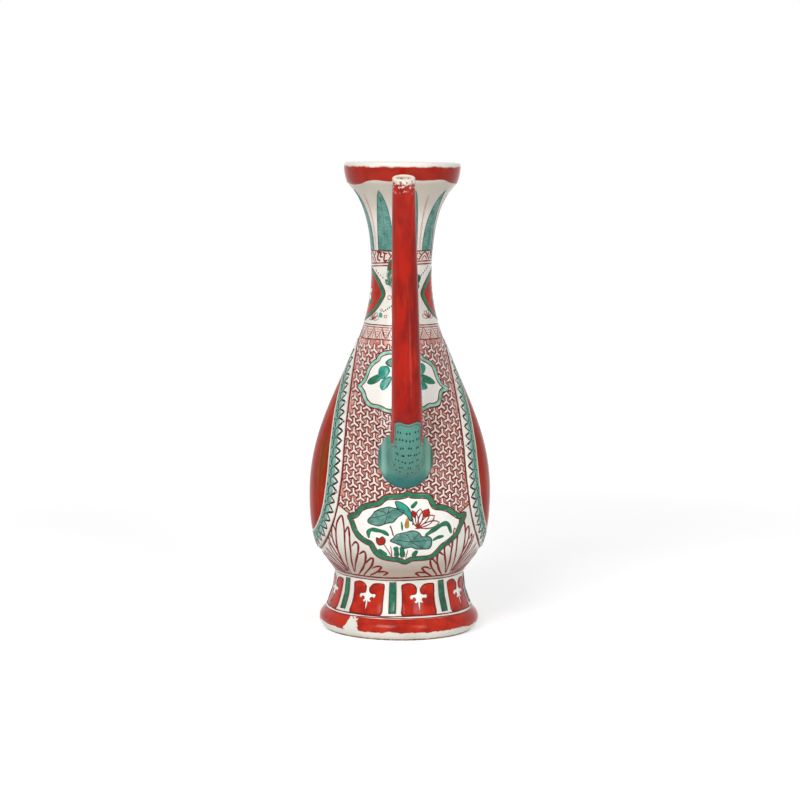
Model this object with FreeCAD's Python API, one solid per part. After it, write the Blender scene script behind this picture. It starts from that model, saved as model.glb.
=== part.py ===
# Spouted ewer in enamelled porcelain, made of the clay pieces that a potter lutes together.
# Millimetres, +Z up. The origin is the centre of the ring that the foot stands on.
# The spout points to -Y and the handle to +Y.
import FreeCAD
import Part
import math
import os

from FreeCAD import Vector

os.makedirs("parts", exist_ok=True)

# Heights, stacked from the ground up
foot_height = 37.0
bowl_height = 52.0
shoulder_height = 111.0
neck_height = 62.0
cup_height = 38.0

# Outer radii of the vessel
waist_radius = 41.6
belly_radius = 57.5
neck_radius = 19.2
neck_waist_rise = 30.0      # the narrowest ring of the neck, above the shoulder seam

# Mouth, built round the seat for a lid
lid_seat_radius = 33.0      # the ring inside the mouth, where a lid's flange would drop in
lid_seat_depth = 8.5
lip_wall = 4.3
lip_lean = 2.1              # how far the lip widens above the corner of the cup
lip_height = 13.0           # the upright lip, above the corner of the cup
lip_round = 1.6

# Walls
body_wall = 4.5
neck_wall = 4.0
floor_thickness = 5.5

# How full each curve of the outline is, as shares of its own height or width
bowl_fullness_share = 0.75
bowl_root_share = 0.31
bowl_root_angle = 30.0
shoulder_fullness_share = 0.40
shoulder_slim_share = 0.385
flare_slim_share = 0.75
flare_end_share = 0.14
flare_angle = 38.0

# Foot: a hollow flared skirt that ends in a rolled base
foot_contact_radius = 47.6
foot_hollow_radius = 42.6
foot_roll_radius = 7.0
foot_roll_reach = 51.6
foot_roll_height = 6.7      # centre of the roll above the ground
foot_roll_join_angle = 47.0
foot_slim_share = 0.52
foot_flare_share = 0.13
foot_flare_angle = 50.0

# Raised leaf-shaped panel on each side of the body
panel_rise = 1.0
panel_half_width = 41.0
panel_widest_rise = 11.0    # above the belly seam
panel_tip_drop = 12.0       # below the shoulder seam
panel_foot_rise = 15.0      # above the waist
panel_tip_shares = (0.30, 0.14)
panel_side_share = 0.36
panel_low_shares = (0.52, 0.73)

# Spout, as distances out from the widest ring and heights above the belly seam
spout_root_inset = 9.5      # its root starts inside the wall
spout_root_rise = 22.5
spout_root_run = 14.0
spout_root_angle = 17.0
spout_knee_reach = 17.5
spout_knee_rise = 66.0
spout_knee_run_in = 26.0
spout_knee_run_out = 46.0
spout_knee_angle = 5.0      # leans back towards the neck
spout_tip_reach = 20.5
spout_tip_drop = 8.6        # below the lip
spout_tip_run = 50.0
spout_tip_angle = 15.0      # leans outwards
spout_tip_sway = -3.7       # the tip stands a little to one side
spout_root_radius = 11.6
spout_knee_radius = 9.4
spout_tip_radius = 7.0
spout_bore_root_radius = 5.6
spout_bore_tip_radius = 4.1
spout_stations = 7

# Round swelling that the spout grows out of
boss_radius = 17.4
boss_height = 8.5
boss_edge = 3.0
boss_rise = 27.0            # above the belly seam

# Cloud-shaped strut between the neck and the spout
strut_rise = 30.0           # above the shoulder seam
strut_core_radius = 7.4
strut_lobe_radius = 4.6
strut_lobe_offset = 5.9
strut_lobe_drop = 1.5
strut_curl_radius = 2.5
strut_curl_offset = 7.4
strut_curl_drop = 6.0
strut_waist_width = 11.0
strut_waist_height = 9.0
strut_scoop_radius = 26.0
strut_grip = 3.0            # how far the strut's end wraps the spout

# Handle: a flat strap, as distances out from the widest ring and heights
handle_top_inset = 1.7      # its top starts inside the neck's narrowest ring
handle_top_drop = 10.0      # below the cup seam
handle_top_run = (16.5, 20.0)
handle_knee_reach = 7.5
handle_knee_rise = 139.0    # above the belly seam
handle_knee_run_in = 56.0
handle_knee_run_out = 42.0
handle_end_inset = 7.5      # its end starts inside the wall
handle_end_rise = 24.0      # above the belly seam
handle_end_run = (14.0, 22.0)
handle_top_width = 20.0
handle_mid_width = 17.0
handle_end_width = 19.0
handle_thickness = 7.0
handle_stations = 8

# Trefoil leaf pressed on where the handle meets the belly
terminal_rise = 19.5        # its two upper lobes, above the belly seam
terminal_lobe_radius = 7.0
terminal_lobe_offset = 6.6
terminal_tip_radius = 5.6
terminal_tip_drop = 9.5
terminal_height = 4.5

overrun = 6.0

# Heights of the seams
waist_z = foot_height
belly_z = waist_z + bowl_height
shoulder_z = belly_z + shoulder_height
cup_z = shoulder_z + neck_height
lip_z = cup_z + cup_height
neck_waist_z = shoulder_z + neck_waist_rise
flare_z = lip_z - lip_height
seat_z = lip_z - lip_round - lid_seat_depth
floor_z = waist_z + floor_thickness
vessel_reach = belly_radius + panel_rise + overrun

# Radii and reaches that follow from the sizes above
lip_radius = lid_seat_radius + lip_wall
flare_radius = lip_radius - lip_lean
spout_root_y = belly_radius - spout_root_inset
spout_knee_y = belly_radius + spout_knee_reach
spout_tip_y = belly_radius + spout_tip_reach
handle_top_y = neck_radius - handle_top_inset
handle_knee_y = belly_radius + handle_knee_reach
handle_end_y = belly_radius - handle_end_inset


def across(angle):
    return math.sin(math.radians(angle))


def along(angle):
    return math.cos(math.radians(angle))


def at(radius, height):
    return Vector(radius, 0, height)


def line(start, end):
    return Part.LineSegment(start, end).toShape()


def bezier(*poles):
    curve = Part.BezierCurve()
    curve.setPoles(list(poles))
    return curve


def arc(start, middle, end):
    return Part.Arc(start, middle, end).toShape()


def turned(edges):
    face = Part.Face(Part.Wire(edges))
    return face.revolve(Vector(0, 0, 0), Vector(0, 0, 1), 360)


def bowl_curve(root, widest, root_z):
    rise = belly_z - root_z
    root_run = bowl_root_share * rise
    return bezier(
        at(root, root_z),
        at(root + root_run * across(bowl_root_angle), root_z + root_run * along(bowl_root_angle)),
        at(widest, belly_z - bowl_fullness_share * rise),
        at(widest, belly_z),
    )


def shoulder_curve(widest, narrowest):
    rise = neck_waist_z - belly_z
    return bezier(
        at(widest, belly_z),
        at(widest, belly_z + shoulder_fullness_share * rise),
        at(narrowest, neck_waist_z - shoulder_slim_share * rise),
        at(narrowest, neck_waist_z),
    )


def flare_curve(narrowest, widest, top_z):
    rise = top_z - neck_waist_z
    end_run = flare_end_share * rise
    return bezier(
        at(narrowest, neck_waist_z),
        at(narrowest, neck_waist_z + flare_slim_share * rise),
        at(widest - end_run * across(flare_angle), top_z - end_run * along(flare_angle)),
        at(widest, top_z),
    )


def lip_curve():
    # the corner of the cup eases into the upright lip
    half = (lip_z - lip_round + flare_z) / 2
    return bezier(at(flare_radius, flare_z), at(lip_radius, half), at(lip_radius, lip_z - lip_round))


def body_curves(rise):
    return bowl_curve(waist_radius + rise, belly_radius + rise, waist_z), shoulder_curve(
        belly_radius + rise, neck_radius + rise
    )


def outer_curves():
    return body_curves(0) + (flare_curve(neck_radius, flare_radius, flare_z), lip_curve())


def vessel_wall():
    inner_belly = belly_radius - body_wall
    inner_neck = neck_radius - neck_wall
    seat_mouth = at(lid_seat_radius, lip_z - lip_round)
    edges = [line(at(0, waist_z), at(waist_radius, waist_z))]
    edges += [curve.toShape() for curve in outer_curves()]
    edges.append(
        arc(
            at(lip_radius, lip_z - lip_round),
            at((lip_radius + lid_seat_radius) / 2, lip_z),
            seat_mouth,
        )
    )
    edges.append(line(seat_mouth, at(lid_seat_radius, seat_z)))
    inner = (
        flare_curve(inner_neck, lid_seat_radius, seat_z),
        shoulder_curve(inner_belly, inner_neck),
        bowl_curve(waist_radius - body_wall, inner_belly, floor_z),
    )
    edges += [curve.toShape() for curve in inner]
    edges.append(line(at(waist_radius - body_wall, floor_z), at(0, floor_z)))
    edges.append(line(at(0, floor_z), at(0, waist_z)))
    return turned(edges)


def filled_body():
    edges = [line(at(0, waist_z), at(waist_radius, waist_z))]
    edges += [curve.toShape() for curve in outer_curves()]
    edges.append(line(at(lip_radius, lip_z - lip_round), at(0, lip_z - lip_round)))
    edges.append(line(at(0, lip_z - lip_round), at(0, waist_z)))
    return turned(edges)


def ring_between(solid, low, high):
    slab = Part.makeCylinder(vessel_reach, high - low, at(0, low))
    return solid.common(slab)


def radius_at(height):
    # where the outline of the body crosses a height, by halving the curve
    curve = body_curves(0)[0 if height < belly_z else 1]
    low = 0.0
    high = 1.0
    for _ in range(40):
        middle = (low + high) / 2
        if curve.value(middle).z < height:
            low = middle
        else:
            high = middle
    return curve.value(low).x


def tilt_at(height):
    # how far the wall's normal looks up at a height, in degrees
    step = boss_edge
    return math.degrees(math.atan2(radius_at(height - step) - radius_at(height + step), 2 * step))


def foot_ring():
    centre = foot_roll_reach - foot_roll_radius
    join = at(
        centre + foot_roll_radius * along(foot_roll_join_angle),
        foot_roll_height + foot_roll_radius * across(foot_roll_join_angle),
    )
    drop = waist_z - join.z
    flare_run = foot_flare_share * drop
    skirt = bezier(
        at(waist_radius, waist_z),
        at(waist_radius, waist_z - foot_slim_share * drop),
        at(join.x - flare_run * across(foot_flare_angle), join.z + flare_run * along(foot_flare_angle)),
        join,
    )
    inner = waist_radius - body_wall
    edges = [
        skirt.toShape(),
        arc(join, at(foot_roll_reach, foot_roll_height), at(foot_contact_radius, 0)),
        line(at(foot_contact_radius, 0), at(foot_hollow_radius, 0)),
        bezier(at(foot_hollow_radius, 0), at(inner, waist_z / 2), at(inner, waist_z)).toShape(),
        line(at(inner, waist_z), at(waist_radius, waist_z)),
    ]
    return turned(edges)


def side_panel(body, side):
    skin_edges = [curve.toShape() for curve in body_curves(panel_rise)]
    top = neck_radius + panel_rise
    skin_edges.append(line(at(top, neck_waist_z), at(0, neck_waist_z)))
    skin_edges.append(line(at(0, neck_waist_z), at(0, waist_z)))
    skin_edges.append(line(at(0, waist_z), at(waist_radius + panel_rise, waist_z)))
    skin = turned(skin_edges)

    tip_z = shoulder_z - panel_tip_drop
    wide_z = belly_z + panel_widest_rise
    low_z = waist_z + panel_foot_rise
    upper = tip_z - wide_z
    lower = wide_z - low_z
    outline = []
    for hand in (-1, 1):
        width = hand * panel_half_width
        tip = Vector(0, 0, tip_z)
        shoulder = Vector(0, width * panel_tip_shares[0], tip_z - upper * panel_tip_shares[1])
        above = Vector(0, width, wide_z + upper * panel_side_share)
        widest = Vector(0, width, wide_z)
        below = Vector(0, width, wide_z - lower * panel_low_shares[0])
        bottom = Vector(0, width * panel_low_shares[1], low_z)
        foot = Vector(0, 0, low_z)
        outline.append(bezier(tip, shoulder, above, widest).toShape())
        outline.append(bezier(widest, below, bottom, foot).toShape())
    wire = Part.Wire(Part.sortEdges(outline)[0])
    prism = Part.Face(wire).extrude(Vector(side * vessel_reach, 0, 0))
    return skin.common(prism).cut(body)


def bent_path(first, second, sway, count):
    # stations along two curves that run on from each other: place, direction and share
    stations = []
    for leg, curve in enumerate((first, second)):
        for step in range(0 if leg == 0 else 1, count + 1):
            share = step / count
            place = curve.value(share)
            direction = curve.tangent(share)[0]
            lean = sway * ((leg + share) / 2) ** 2
            stations.append((place + Vector(lean, 0, 0), direction, leg + share))
    return stations


def blend(share, root, middle, tip):
    if share < 1:
        return root + (middle - root) * share
    return middle + (tip - middle) * (share - 1)


def spout_path():
    def out(reach, height):
        return Vector(0, -reach, height)

    root_z = belly_z + spout_root_rise
    knee_z = belly_z + spout_knee_rise
    tip_z = lip_z - spout_tip_drop
    root_out = spout_root_run * along(spout_root_angle)
    root_up = spout_root_run * across(spout_root_angle)
    lean = across(spout_knee_angle)
    rise = along(spout_knee_angle)
    first = bezier(
        out(spout_root_y, root_z),
        out(spout_root_y + root_out, root_z + root_up),
        out(spout_knee_y + spout_knee_run_in * lean, knee_z - spout_knee_run_in * rise),
        out(spout_knee_y, knee_z),
    )
    second = bezier(
        out(spout_knee_y, knee_z),
        out(spout_knee_y - spout_knee_run_out * lean, knee_z + spout_knee_run_out * rise),
        out(
            spout_tip_y - spout_tip_run * across(spout_tip_angle),
            tip_z - spout_tip_run * along(spout_tip_angle),
        ),
        out(spout_tip_y, tip_z),
    )
    return bent_path(first, second, spout_tip_sway, spout_stations)


def round_tube(stations, root, middle, tip):
    rings = []
    for place, direction, share in stations:
        radius = blend(share, root, middle, tip)
        rings.append(Part.Wire(Part.makeCircle(radius, place, direction)))
    return Part.makeLoft(rings, True)


def spout_outside():
    return round_tube(spout_path(), spout_root_radius, spout_knee_radius, spout_tip_radius)


def spout_bore():
    stations = spout_path()
    place, direction, share = stations[0]
    inside = place - direction * (body_wall + overrun)
    stations.insert(0, (inside, direction, share))
    place, direction, share = stations[-1]
    stations.append((place + direction * overrun, direction, share))
    middle = (spout_bore_root_radius + spout_bore_tip_radius) / 2
    return round_tube(stations, spout_bore_root_radius, middle, spout_bore_tip_radius)


def wall_frame(height, side):
    # a place on the wall on the Y axis, and the direction that looks straight out of it
    tilt = tilt_at(height)
    normal = Vector(0, side * along(tilt), across(tilt))
    return Vector(0, side * radius_at(height), height), normal


def spout_boss(body, spout):
    place, normal = wall_frame(belly_z + boss_rise, -1)
    diagonal = math.sqrt(0.5)
    flat = boss_radius - boss_edge
    rise = boss_height - boss_edge
    crown = (flat**2 + rise**2) / (2 * rise)
    half_turn = math.asin(flat / crown) / 2
    crown_middle = at(crown * math.sin(half_turn), boss_height - crown + crown * math.cos(half_turn))
    edges = [
        line(at(0, -overrun), at(boss_radius, -overrun)),
        line(at(boss_radius, -overrun), at(boss_radius, 0)),
        arc(at(boss_radius, 0), at(flat + boss_edge * diagonal, boss_edge * diagonal), at(flat, boss_edge)),
        arc(at(flat, boss_edge), crown_middle, at(0, boss_height)),
        line(at(0, boss_height), at(0, -overrun)),
    ]
    dome = turned(edges)
    dome.Placement = FreeCAD.Placement(place, FreeCAD.Rotation(Vector(0, 0, 1), normal))
    return dome.cut(body).cut(spout)


def strut(body, spout):
    centre_z = shoulder_z + strut_rise
    near = spout_near_side(centre_z)
    reach = near + strut_grip
    lobes = [
        (0, 0, strut_core_radius),
        (-strut_lobe_offset, -strut_lobe_drop, strut_lobe_radius),
        (strut_lobe_offset, -strut_lobe_drop, strut_lobe_radius),
        (-strut_curl_offset, -strut_curl_drop, strut_curl_radius),
        (strut_curl_offset, -strut_curl_drop, strut_curl_radius),
    ]
    bars = []
    for x, z, radius in lobes:
        bars.append(Part.makeCylinder(radius, reach, Vector(x, 0, centre_z + z), Vector(0, -1, 0)))
    cloud = bars[0].fuse(bars[1:]).removeSplitter()

    # the scoops draw the strut in halfway between the neck and the near side of the spout
    middle_y = -(near + radius_at(centre_z)) / 2
    half_reach = vessel_reach / 2
    scoops = []
    for hand in (-1, 1):
        across_x = hand * (strut_scoop_radius + strut_waist_width / 2)
        across_z = hand * (strut_scoop_radius + strut_waist_height / 2)
        beside = Vector(across_x, middle_y, centre_z - half_reach)
        above = Vector(-half_reach, middle_y, centre_z + across_z)
        scoops.append(Part.makeCylinder(strut_scoop_radius, vessel_reach, beside))
        scoops.append(Part.makeCylinder(strut_scoop_radius, vessel_reach, above, Vector(1, 0, 0)))
    return cloud.cut(scoops).cut(body).cut(spout)


def spout_near_side(height):
    # how far out the side of the spout that faces the neck lies, at a height
    stations = spout_path()
    for low, high in zip(stations, stations[1:]):
        if low[0].z <= height <= high[0].z:
            share = (height - low[0].z) / (high[0].z - low[0].z)
            reach = -low[0].y - (high[0].y - low[0].y) * share
            radius = blend(low[2], spout_root_radius, spout_knee_radius, spout_tip_radius)
            return reach - radius
    return spout_tip_y


def handle_path():
    top_z = cup_z - handle_top_drop
    knee_z = belly_z + handle_knee_rise
    end_z = belly_z + handle_end_rise
    first = bezier(
        Vector(0, handle_top_y, top_z),
        Vector(0, handle_top_y + handle_top_run[0], top_z + handle_top_run[1]),
        Vector(0, handle_knee_y, knee_z + handle_knee_run_in),
        Vector(0, handle_knee_y, knee_z),
    )
    second = bezier(
        Vector(0, handle_knee_y, knee_z),
        Vector(0, handle_knee_y, knee_z - handle_knee_run_out),
        Vector(0, handle_end_y + handle_end_run[0], end_z + handle_end_run[1]),
        Vector(0, handle_end_y, end_z),
    )
    return bent_path(first, second, 0, handle_stations)


def strap_section(place, direction, width):
    # a flat bar with half-round edges, square to the path
    half = handle_thickness / 2
    flat = width / 2 - half
    out = direction.cross(Vector(1, 0, 0))
    side = Vector(1, 0, 0)
    hands = ((-1, 1), (1, 1), (1, -1), (-1, -1))
    corners = [place + side * (x * flat) + out * (y * half) for x, y in hands]
    right = place + side * (width / 2)
    left = place - side * (width / 2)
    return Part.Wire(
        [
            line(corners[0], corners[1]),
            arc(corners[1], right, corners[2]),
            line(corners[2], corners[3]),
            arc(corners[3], left, corners[0]),
        ]
    )


def handle_strap(body):
    sections = []
    for place, direction, share in handle_path():
        width = blend(share, handle_top_width, handle_mid_width, handle_end_width)
        sections.append(strap_section(place, direction, width))
    return Part.makeLoft(sections, True).cut(body)


def handle_terminal(body, strap):
    place, normal = wall_frame(belly_z + terminal_rise, 1)
    up = Vector(1, 0, 0).cross(normal)
    lobes = [
        (-terminal_lobe_offset, 0, terminal_lobe_radius),
        (terminal_lobe_offset, 0, terminal_lobe_radius),
        (0, terminal_tip_drop, terminal_tip_radius),
        (0, terminal_tip_drop / 2, terminal_lobe_radius),
    ]
    pads = []
    for x, drop, radius in lobes:
        base = place + Vector(x, 0, 0) - up * drop - normal * overrun
        pads.append(Part.makeCylinder(radius, overrun + terminal_height, base, normal))
    leaf = pads[0].fuse(pads[1:]).removeSplitter()
    return leaf.cut(body).cut(strap)


def export(name, shape):
    # a cut can leave a crumb, so the piece is the largest solid
    solid = max(shape.Solids, key=lambda one: one.Volume)
    solid.exportStep("parts/" + name + ".step")
    print(name, len(shape.Solids), "solid,", round(solid.Volume), "mm3, valid", solid.isValid())


wall = vessel_wall()
body = filled_body()
spout = spout_outside()
bore = spout_bore()
pierced = wall.cut(bore)
strap = handle_strap(body)

export("foot_ring", foot_ring())
export("body_lower", ring_between(pierced, waist_z, belly_z))
export("body_upper", ring_between(pierced, belly_z, shoulder_z))
export("neck_tube", ring_between(pierced, shoulder_z, cup_z))
export("mouth_cup", ring_between(pierced, cup_z, lip_z))
export("side_panel_left", side_panel(body, -1))
export("side_panel_right", side_panel(body, 1))
export("spout_boss", spout_boss(body, spout))
export("spout_tube", spout.cut(body).cut(bore))
export("spout_strut", strut(body, spout))
export("handle_strap", strap)
export("handle_terminal", handle_terminal(body, strap))
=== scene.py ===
import math

import bpy
import numpy as np
from mathutils import Matrix, Vector
from mathutils.geometry import delaunay_2d_cdt


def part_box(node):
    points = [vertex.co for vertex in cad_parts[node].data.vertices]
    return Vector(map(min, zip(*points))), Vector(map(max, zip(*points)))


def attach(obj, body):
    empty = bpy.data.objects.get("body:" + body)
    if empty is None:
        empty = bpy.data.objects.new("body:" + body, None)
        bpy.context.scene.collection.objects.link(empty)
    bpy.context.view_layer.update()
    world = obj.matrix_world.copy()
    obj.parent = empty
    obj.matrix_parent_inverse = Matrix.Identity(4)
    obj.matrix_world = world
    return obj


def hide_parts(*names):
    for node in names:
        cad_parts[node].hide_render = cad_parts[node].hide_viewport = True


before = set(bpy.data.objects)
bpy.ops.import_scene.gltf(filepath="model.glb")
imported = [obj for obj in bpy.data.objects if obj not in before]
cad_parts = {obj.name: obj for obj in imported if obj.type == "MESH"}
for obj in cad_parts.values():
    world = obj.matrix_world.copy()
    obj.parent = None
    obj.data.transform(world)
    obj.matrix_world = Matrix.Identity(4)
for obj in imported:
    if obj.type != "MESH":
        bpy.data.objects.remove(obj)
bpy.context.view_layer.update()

print("frame loaded:", len(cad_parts), "clay pieces")

mm = 0.001
scene = bpy.context.scene


def newObject(name, data):
    made = bpy.data.objects.new(name, data)
    scene.collection.objects.link(made)
    return made


# camera, standing where the photograph was taken from

photoCamera = {
    "distance": 1464.0,       # from the vessel's axis, mm
    "height": 306.0,
    "azimuth": -3.75,         # degrees, towards the left
    "pitchDown": 6.18,
    "yaw": 0.012,
    "roll": 0.44,
    "focal": 2284.8,          # in pixels of the frame
    "frame": 800.0,
    "sensor": 36.0,
    "clip": (0.05, 60.0),     # metres
}


def makeCamera(c):
    data = bpy.data.cameras.new("photoCamera")
    data.sensor_width = c["sensor"]
    data.lens = c["focal"] / c["frame"] * c["sensor"]
    data.clip_start, data.clip_end = c["clip"]
    data.dof.use_dof = False
    made = newObject("photoCamera", data)
    turn = math.radians(c["azimuth"])
    place = Vector((c["distance"] * math.sin(turn), -c["distance"] * math.cos(turn), c["height"])) * mm
    aim = (
        Matrix.Rotation(turn + math.radians(c["yaw"]), 4, "Z")
        @ Matrix.Rotation(math.radians(90 - c["pitchDown"]), 4, "X")
        @ Matrix.Rotation(math.radians(c["roll"]), 4, "Z")
    )
    made.matrix_world = Matrix.Translation(place) @ aim
    scene.camera = made
    return made


camera = makeCamera(photoCamera)


# outline of the thrown body, in millimetres; the seams and widest rings come from the frame

def span(node):
    # the corners of a solid's box, in millimetres
    low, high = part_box(node)
    return low / mm, high / mm


bowlLow, bowlHigh = span("body_lower")
neckLow, neckHigh = span("neck_tube")
cupLow, cupHigh = span("mouth_cup")

thrown = {
    "waistRadius": 41.6,
    "neckRadius": 19.2,
    "neckWaistRise": 30.0,    # narrowest ring of the neck, above the shoulder seam
    "cornerRadius": 35.2,     # where the cup turns into the upright lip
    "lipHeight": 13.0,
    "lipRound": 1.6,
    "contactRadius": 47.6,
    "hollowRadius": 42.6,
    "rollRadius": 7.0,
    "rollHeight": 6.7,
    "rollJoinAngle": 47.0,
    "bodyWall": 4.5,
    "neckWall": 4.0,
    "floorThickness": 5.5,
    "seatRadius": 33.0,
    "seatDepth": 8.5,
    # pulls of the curves, as shares of their rise; a pair adds the lean in degrees
    "bowlStart": (0.31, 30.0),
    "bowlEnd": 0.75,
    "shoulderPulls": (0.40, 0.385),
    "flareStart": 0.75,
    "flareEnd": (0.14, 38.0),
    "skirtStart": (0.13, 50.0),
    "skirtEnd": 0.52,
}

waistZ = bowlLow.z
bellyZ = bowlHigh.z
shoulderZ = neckLow.z
cupZ = cupLow.z
lipZ = cupHigh.z
bellyRadius = bowlHigh.x
lipRadius = cupHigh.x
footReach = span("foot_ring")[1].x
neckWaistZ = shoulderZ + thrown["neckWaistRise"]
cornerZ = lipZ - thrown["lipHeight"]
lipTopZ = lipZ - thrown["lipRound"]
seatZ = lipTopZ - thrown["seatDepth"]
floorZ = waistZ + thrown["floorThickness"]


def pairs(first, second):
    # two columns as rows of points
    return np.stack(np.broadcast_arrays(first, second), axis=-1)


def circle(count):
    return np.arange(count) * 2 * math.pi / count


def aroundAxis(radius, turn, z):
    # places round the vessel's axis, with the turn counted from the spout's side towards +X
    return np.stack(np.broadcast_arrays(radius * np.sin(turn), -radius * np.cos(turn), z), axis=-1)


def bezier(poles, steps):
    # a curve of any degree through its poles, one row for each step
    t = np.linspace(0.0, 1.0, steps + 1)[:, None]
    rows = [np.repeat(np.array([p], float), steps + 1, axis=0) for p in poles]
    while len(rows) > 1:
        rows = [a * (1 - t) + b * t for a, b in zip(rows, rows[1:])]
    return rows[0]


def pole(point, run, lean):
    # a pole at a distance from a point, leaning out from upright by an angle
    lean = math.radians(lean)
    return point[0] + run * math.sin(lean), point[1] + run * math.cos(lean)


def joined(*curves):
    return np.concatenate([curves[0]] + [c[1:] for c in curves[1:]])


def arcPoints(centre, radius, start, end, steps):
    turn = np.radians(np.linspace(start, end, steps + 1))
    return pairs(centre[0] + radius * np.cos(turn), centre[1] + radius * np.sin(turn))


def bowlCurve(root, widest, rootZ, steps=60):
    rise = bellyZ - rootZ
    share, lean = thrown["bowlStart"]
    low, high = (root, rootZ), (widest, bellyZ)
    second = (widest, bellyZ - thrown["bowlEnd"] * rise)
    return bezier([low, pole(low, share * rise, lean), second, high], steps)


def shoulderCurve(widest, narrowest, steps=110):
    rise = neckWaistZ - bellyZ
    low, high = thrown["shoulderPulls"]
    first, second = (widest, bellyZ + low * rise), (narrowest, neckWaistZ - high * rise)
    return bezier([(widest, bellyZ), first, second, (narrowest, neckWaistZ)], steps)


def flareCurve(narrowest, widest, topZ, steps=50):
    rise = topZ - neckWaistZ
    share, lean = thrown["flareEnd"]
    low, high = (narrowest, neckWaistZ), (widest, topZ)
    first = (narrowest, neckWaistZ + thrown["flareStart"] * rise)
    return bezier([low, first, pole(high, -share * rise, lean), high], steps)


def footCurve(rollSteps=26, skirtSteps=36):
    # from the ground up: the rolled base, then the flared skirt
    c = thrown
    radius, height = c["rollRadius"], c["rollHeight"]
    lowest = math.degrees(math.asin(-height / radius))
    roll = arcPoints((footReach - radius, height), radius, lowest, c["rollJoinAngle"], rollSteps)
    roll[0] = (c["contactRadius"], 0.0)
    join = roll[-1]
    drop = waistZ - join[1]
    share, lean = c["skirtStart"]
    second = (c["waistRadius"], waistZ - c["skirtEnd"] * drop)
    skirt = bezier([join, pole(join, share * drop, -lean), second, (c["waistRadius"], waistZ)], skirtSteps)
    return joined(roll, skirt)


lipMiddle = (lipRadius, (lipTopZ + cornerZ) / 2)
lipCurve = bezier([(thrown["cornerRadius"], cornerZ), lipMiddle, (lipRadius, lipTopZ)], 14)
outerRows = joined(
    footCurve(),
    bowlCurve(thrown["waistRadius"], bellyRadius, waistZ),
    shoulderCurve(bellyRadius, thrown["neckRadius"]),
    flareCurve(thrown["neckRadius"], thrown["cornerRadius"], cornerZ),
    lipCurve,
)
innerBelly = bellyRadius - thrown["bodyWall"]
innerNeck = thrown["neckRadius"] - thrown["neckWall"]
innerWaist = thrown["waistRadius"] - thrown["bodyWall"]
innerRows = joined(
    bowlCurve(innerWaist, innerBelly, floorZ, 30),
    shoulderCurve(innerBelly, innerNeck, 60),
    flareCurve(innerNeck, thrown["seatRadius"], seatZ, 30),
)


def wallRadius(z):
    return np.interp(z, outerRows[:, 1], outerRows[:, 0])


def onWall(theta, z, lift=0.0, step=0.5):
    # a turn, a height and a lift above the glaze, in mm, as a place
    theta, z = np.asarray(theta, float), np.asarray(z, float)
    slope = (wallRadius(z + step) - wallRadius(z - step)) / (2 * step)
    length = np.sqrt(1 + slope * slope)
    return aroundAxis(wallRadius(z) + lift / length, theta, z - lift * slope / length)


# mesh helpers

def makeMesh(name, points, faces):
    mesh = bpy.data.meshes.new(name)
    mesh.from_pydata([tuple(p) for p in np.asarray(points, float) * mm], [], faces)
    mesh.polygons.foreach_set("use_smooth", [True] * len(mesh.polygons))
    mesh.update()
    return newObject(name, mesh)


def addValue(piece, name, values):
    layer = piece.data.attributes.new(name, "FLOAT", "POINT")
    layer.data.foreach_set("value", np.asarray(values, np.float32))


def gridFaces(rows, columns, wrapRows=False):
    # faces between rings of points, stacked open or closed into a loop
    faces = []
    for i in range(rows if wrapRows else rows - 1):
        low, high = i * columns, (i + 1) % rows * columns
        for j in range(columns):
            k = (j + 1) % columns
            faces.append((low + j, low + k, high + k, high + j))
    return faces


def endFaces(rows, columns):
    # faces that close both ends of stacked rings
    return [tuple(range(columns))[::-1], tuple(range((rows - 1) * columns, rows * columns))]


def flipped(faces):
    return [tuple(reversed(f)) for f in faces]


def sharpen(piece, angle):
    piece.data.set_sharp_from_angle(angle=math.radians(angle))


def rowsBetween(rows, low, high, close=0.15):
    # the rows of an outline between two heights, with a row close to each end for crisp seams
    inside = rows[(rows[:, 1] > low + 2 * close) & (rows[:, 1] < high - 2 * close)]
    ends = [low, low + close], [high - close, high]
    edges = [[(np.interp(z, rows[:, 1], rows[:, 0]), z) for z in pair] for pair in ends]
    return np.concatenate([edges[0], inside, edges[1]])


def settle(piece, node=None):
    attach(piece, "root")
    if node:
        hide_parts(node)
    return piece


def finish(piece, node, material):
    piece.data.materials.append(material)
    return settle(piece, node)


def lathe(name, profile, node, material, segments=192):
    # profile runs up the outside and down the inside; a row on the axis becomes one point
    points, starts, wide = [], [], []
    for radius, z in profile:
        starts.append(len(points))
        wide.append(radius > 1e-6)
        points.extend(aroundAxis(radius, circle(segments), z) if wide[-1] else [(0.0, 0.0, z)])
    faces = []
    for i, a in enumerate(starts):
        k = (i + 1) % len(starts)
        b = starts[k]
        for j in range(segments if wide[i] or wide[k] else 0):
            n = (j + 1) % segments
            faces.append(((a + j, a + n) if wide[i] else (a,)) + ((b + n, b + j) if wide[k] else (b,)))
    piece = makeMesh(name, points, faces)
    sharpen(piece, 35)
    return finish(piece, node, material)


# shader helpers

def srgb(*values):
    # a colour as it is read off a screen, 0 to 255, in the linear values that shaders take
    shares = [value / 255 for value in values]
    return (*(s / 12.92 if s <= 0.04045 else ((s + 0.055) / 1.055) ** 2.4 for s in shares), 1.0)


def addNode(tree, kind, settings=None, inputs=None):
    # a node with its settings, and the values or links of its sockets
    made = tree.nodes.new(kind)
    for key, value in (settings or {}).items():
        setattr(made, key, value)
    for key, value in (inputs or {}).items():
        value = value.socket if isinstance(value, Wire) else value
        if isinstance(value, bpy.types.NodeSocket):
            tree.links.new(value, made.inputs[key])
        else:
            made.inputs[key].default_value = value
    return made


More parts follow.
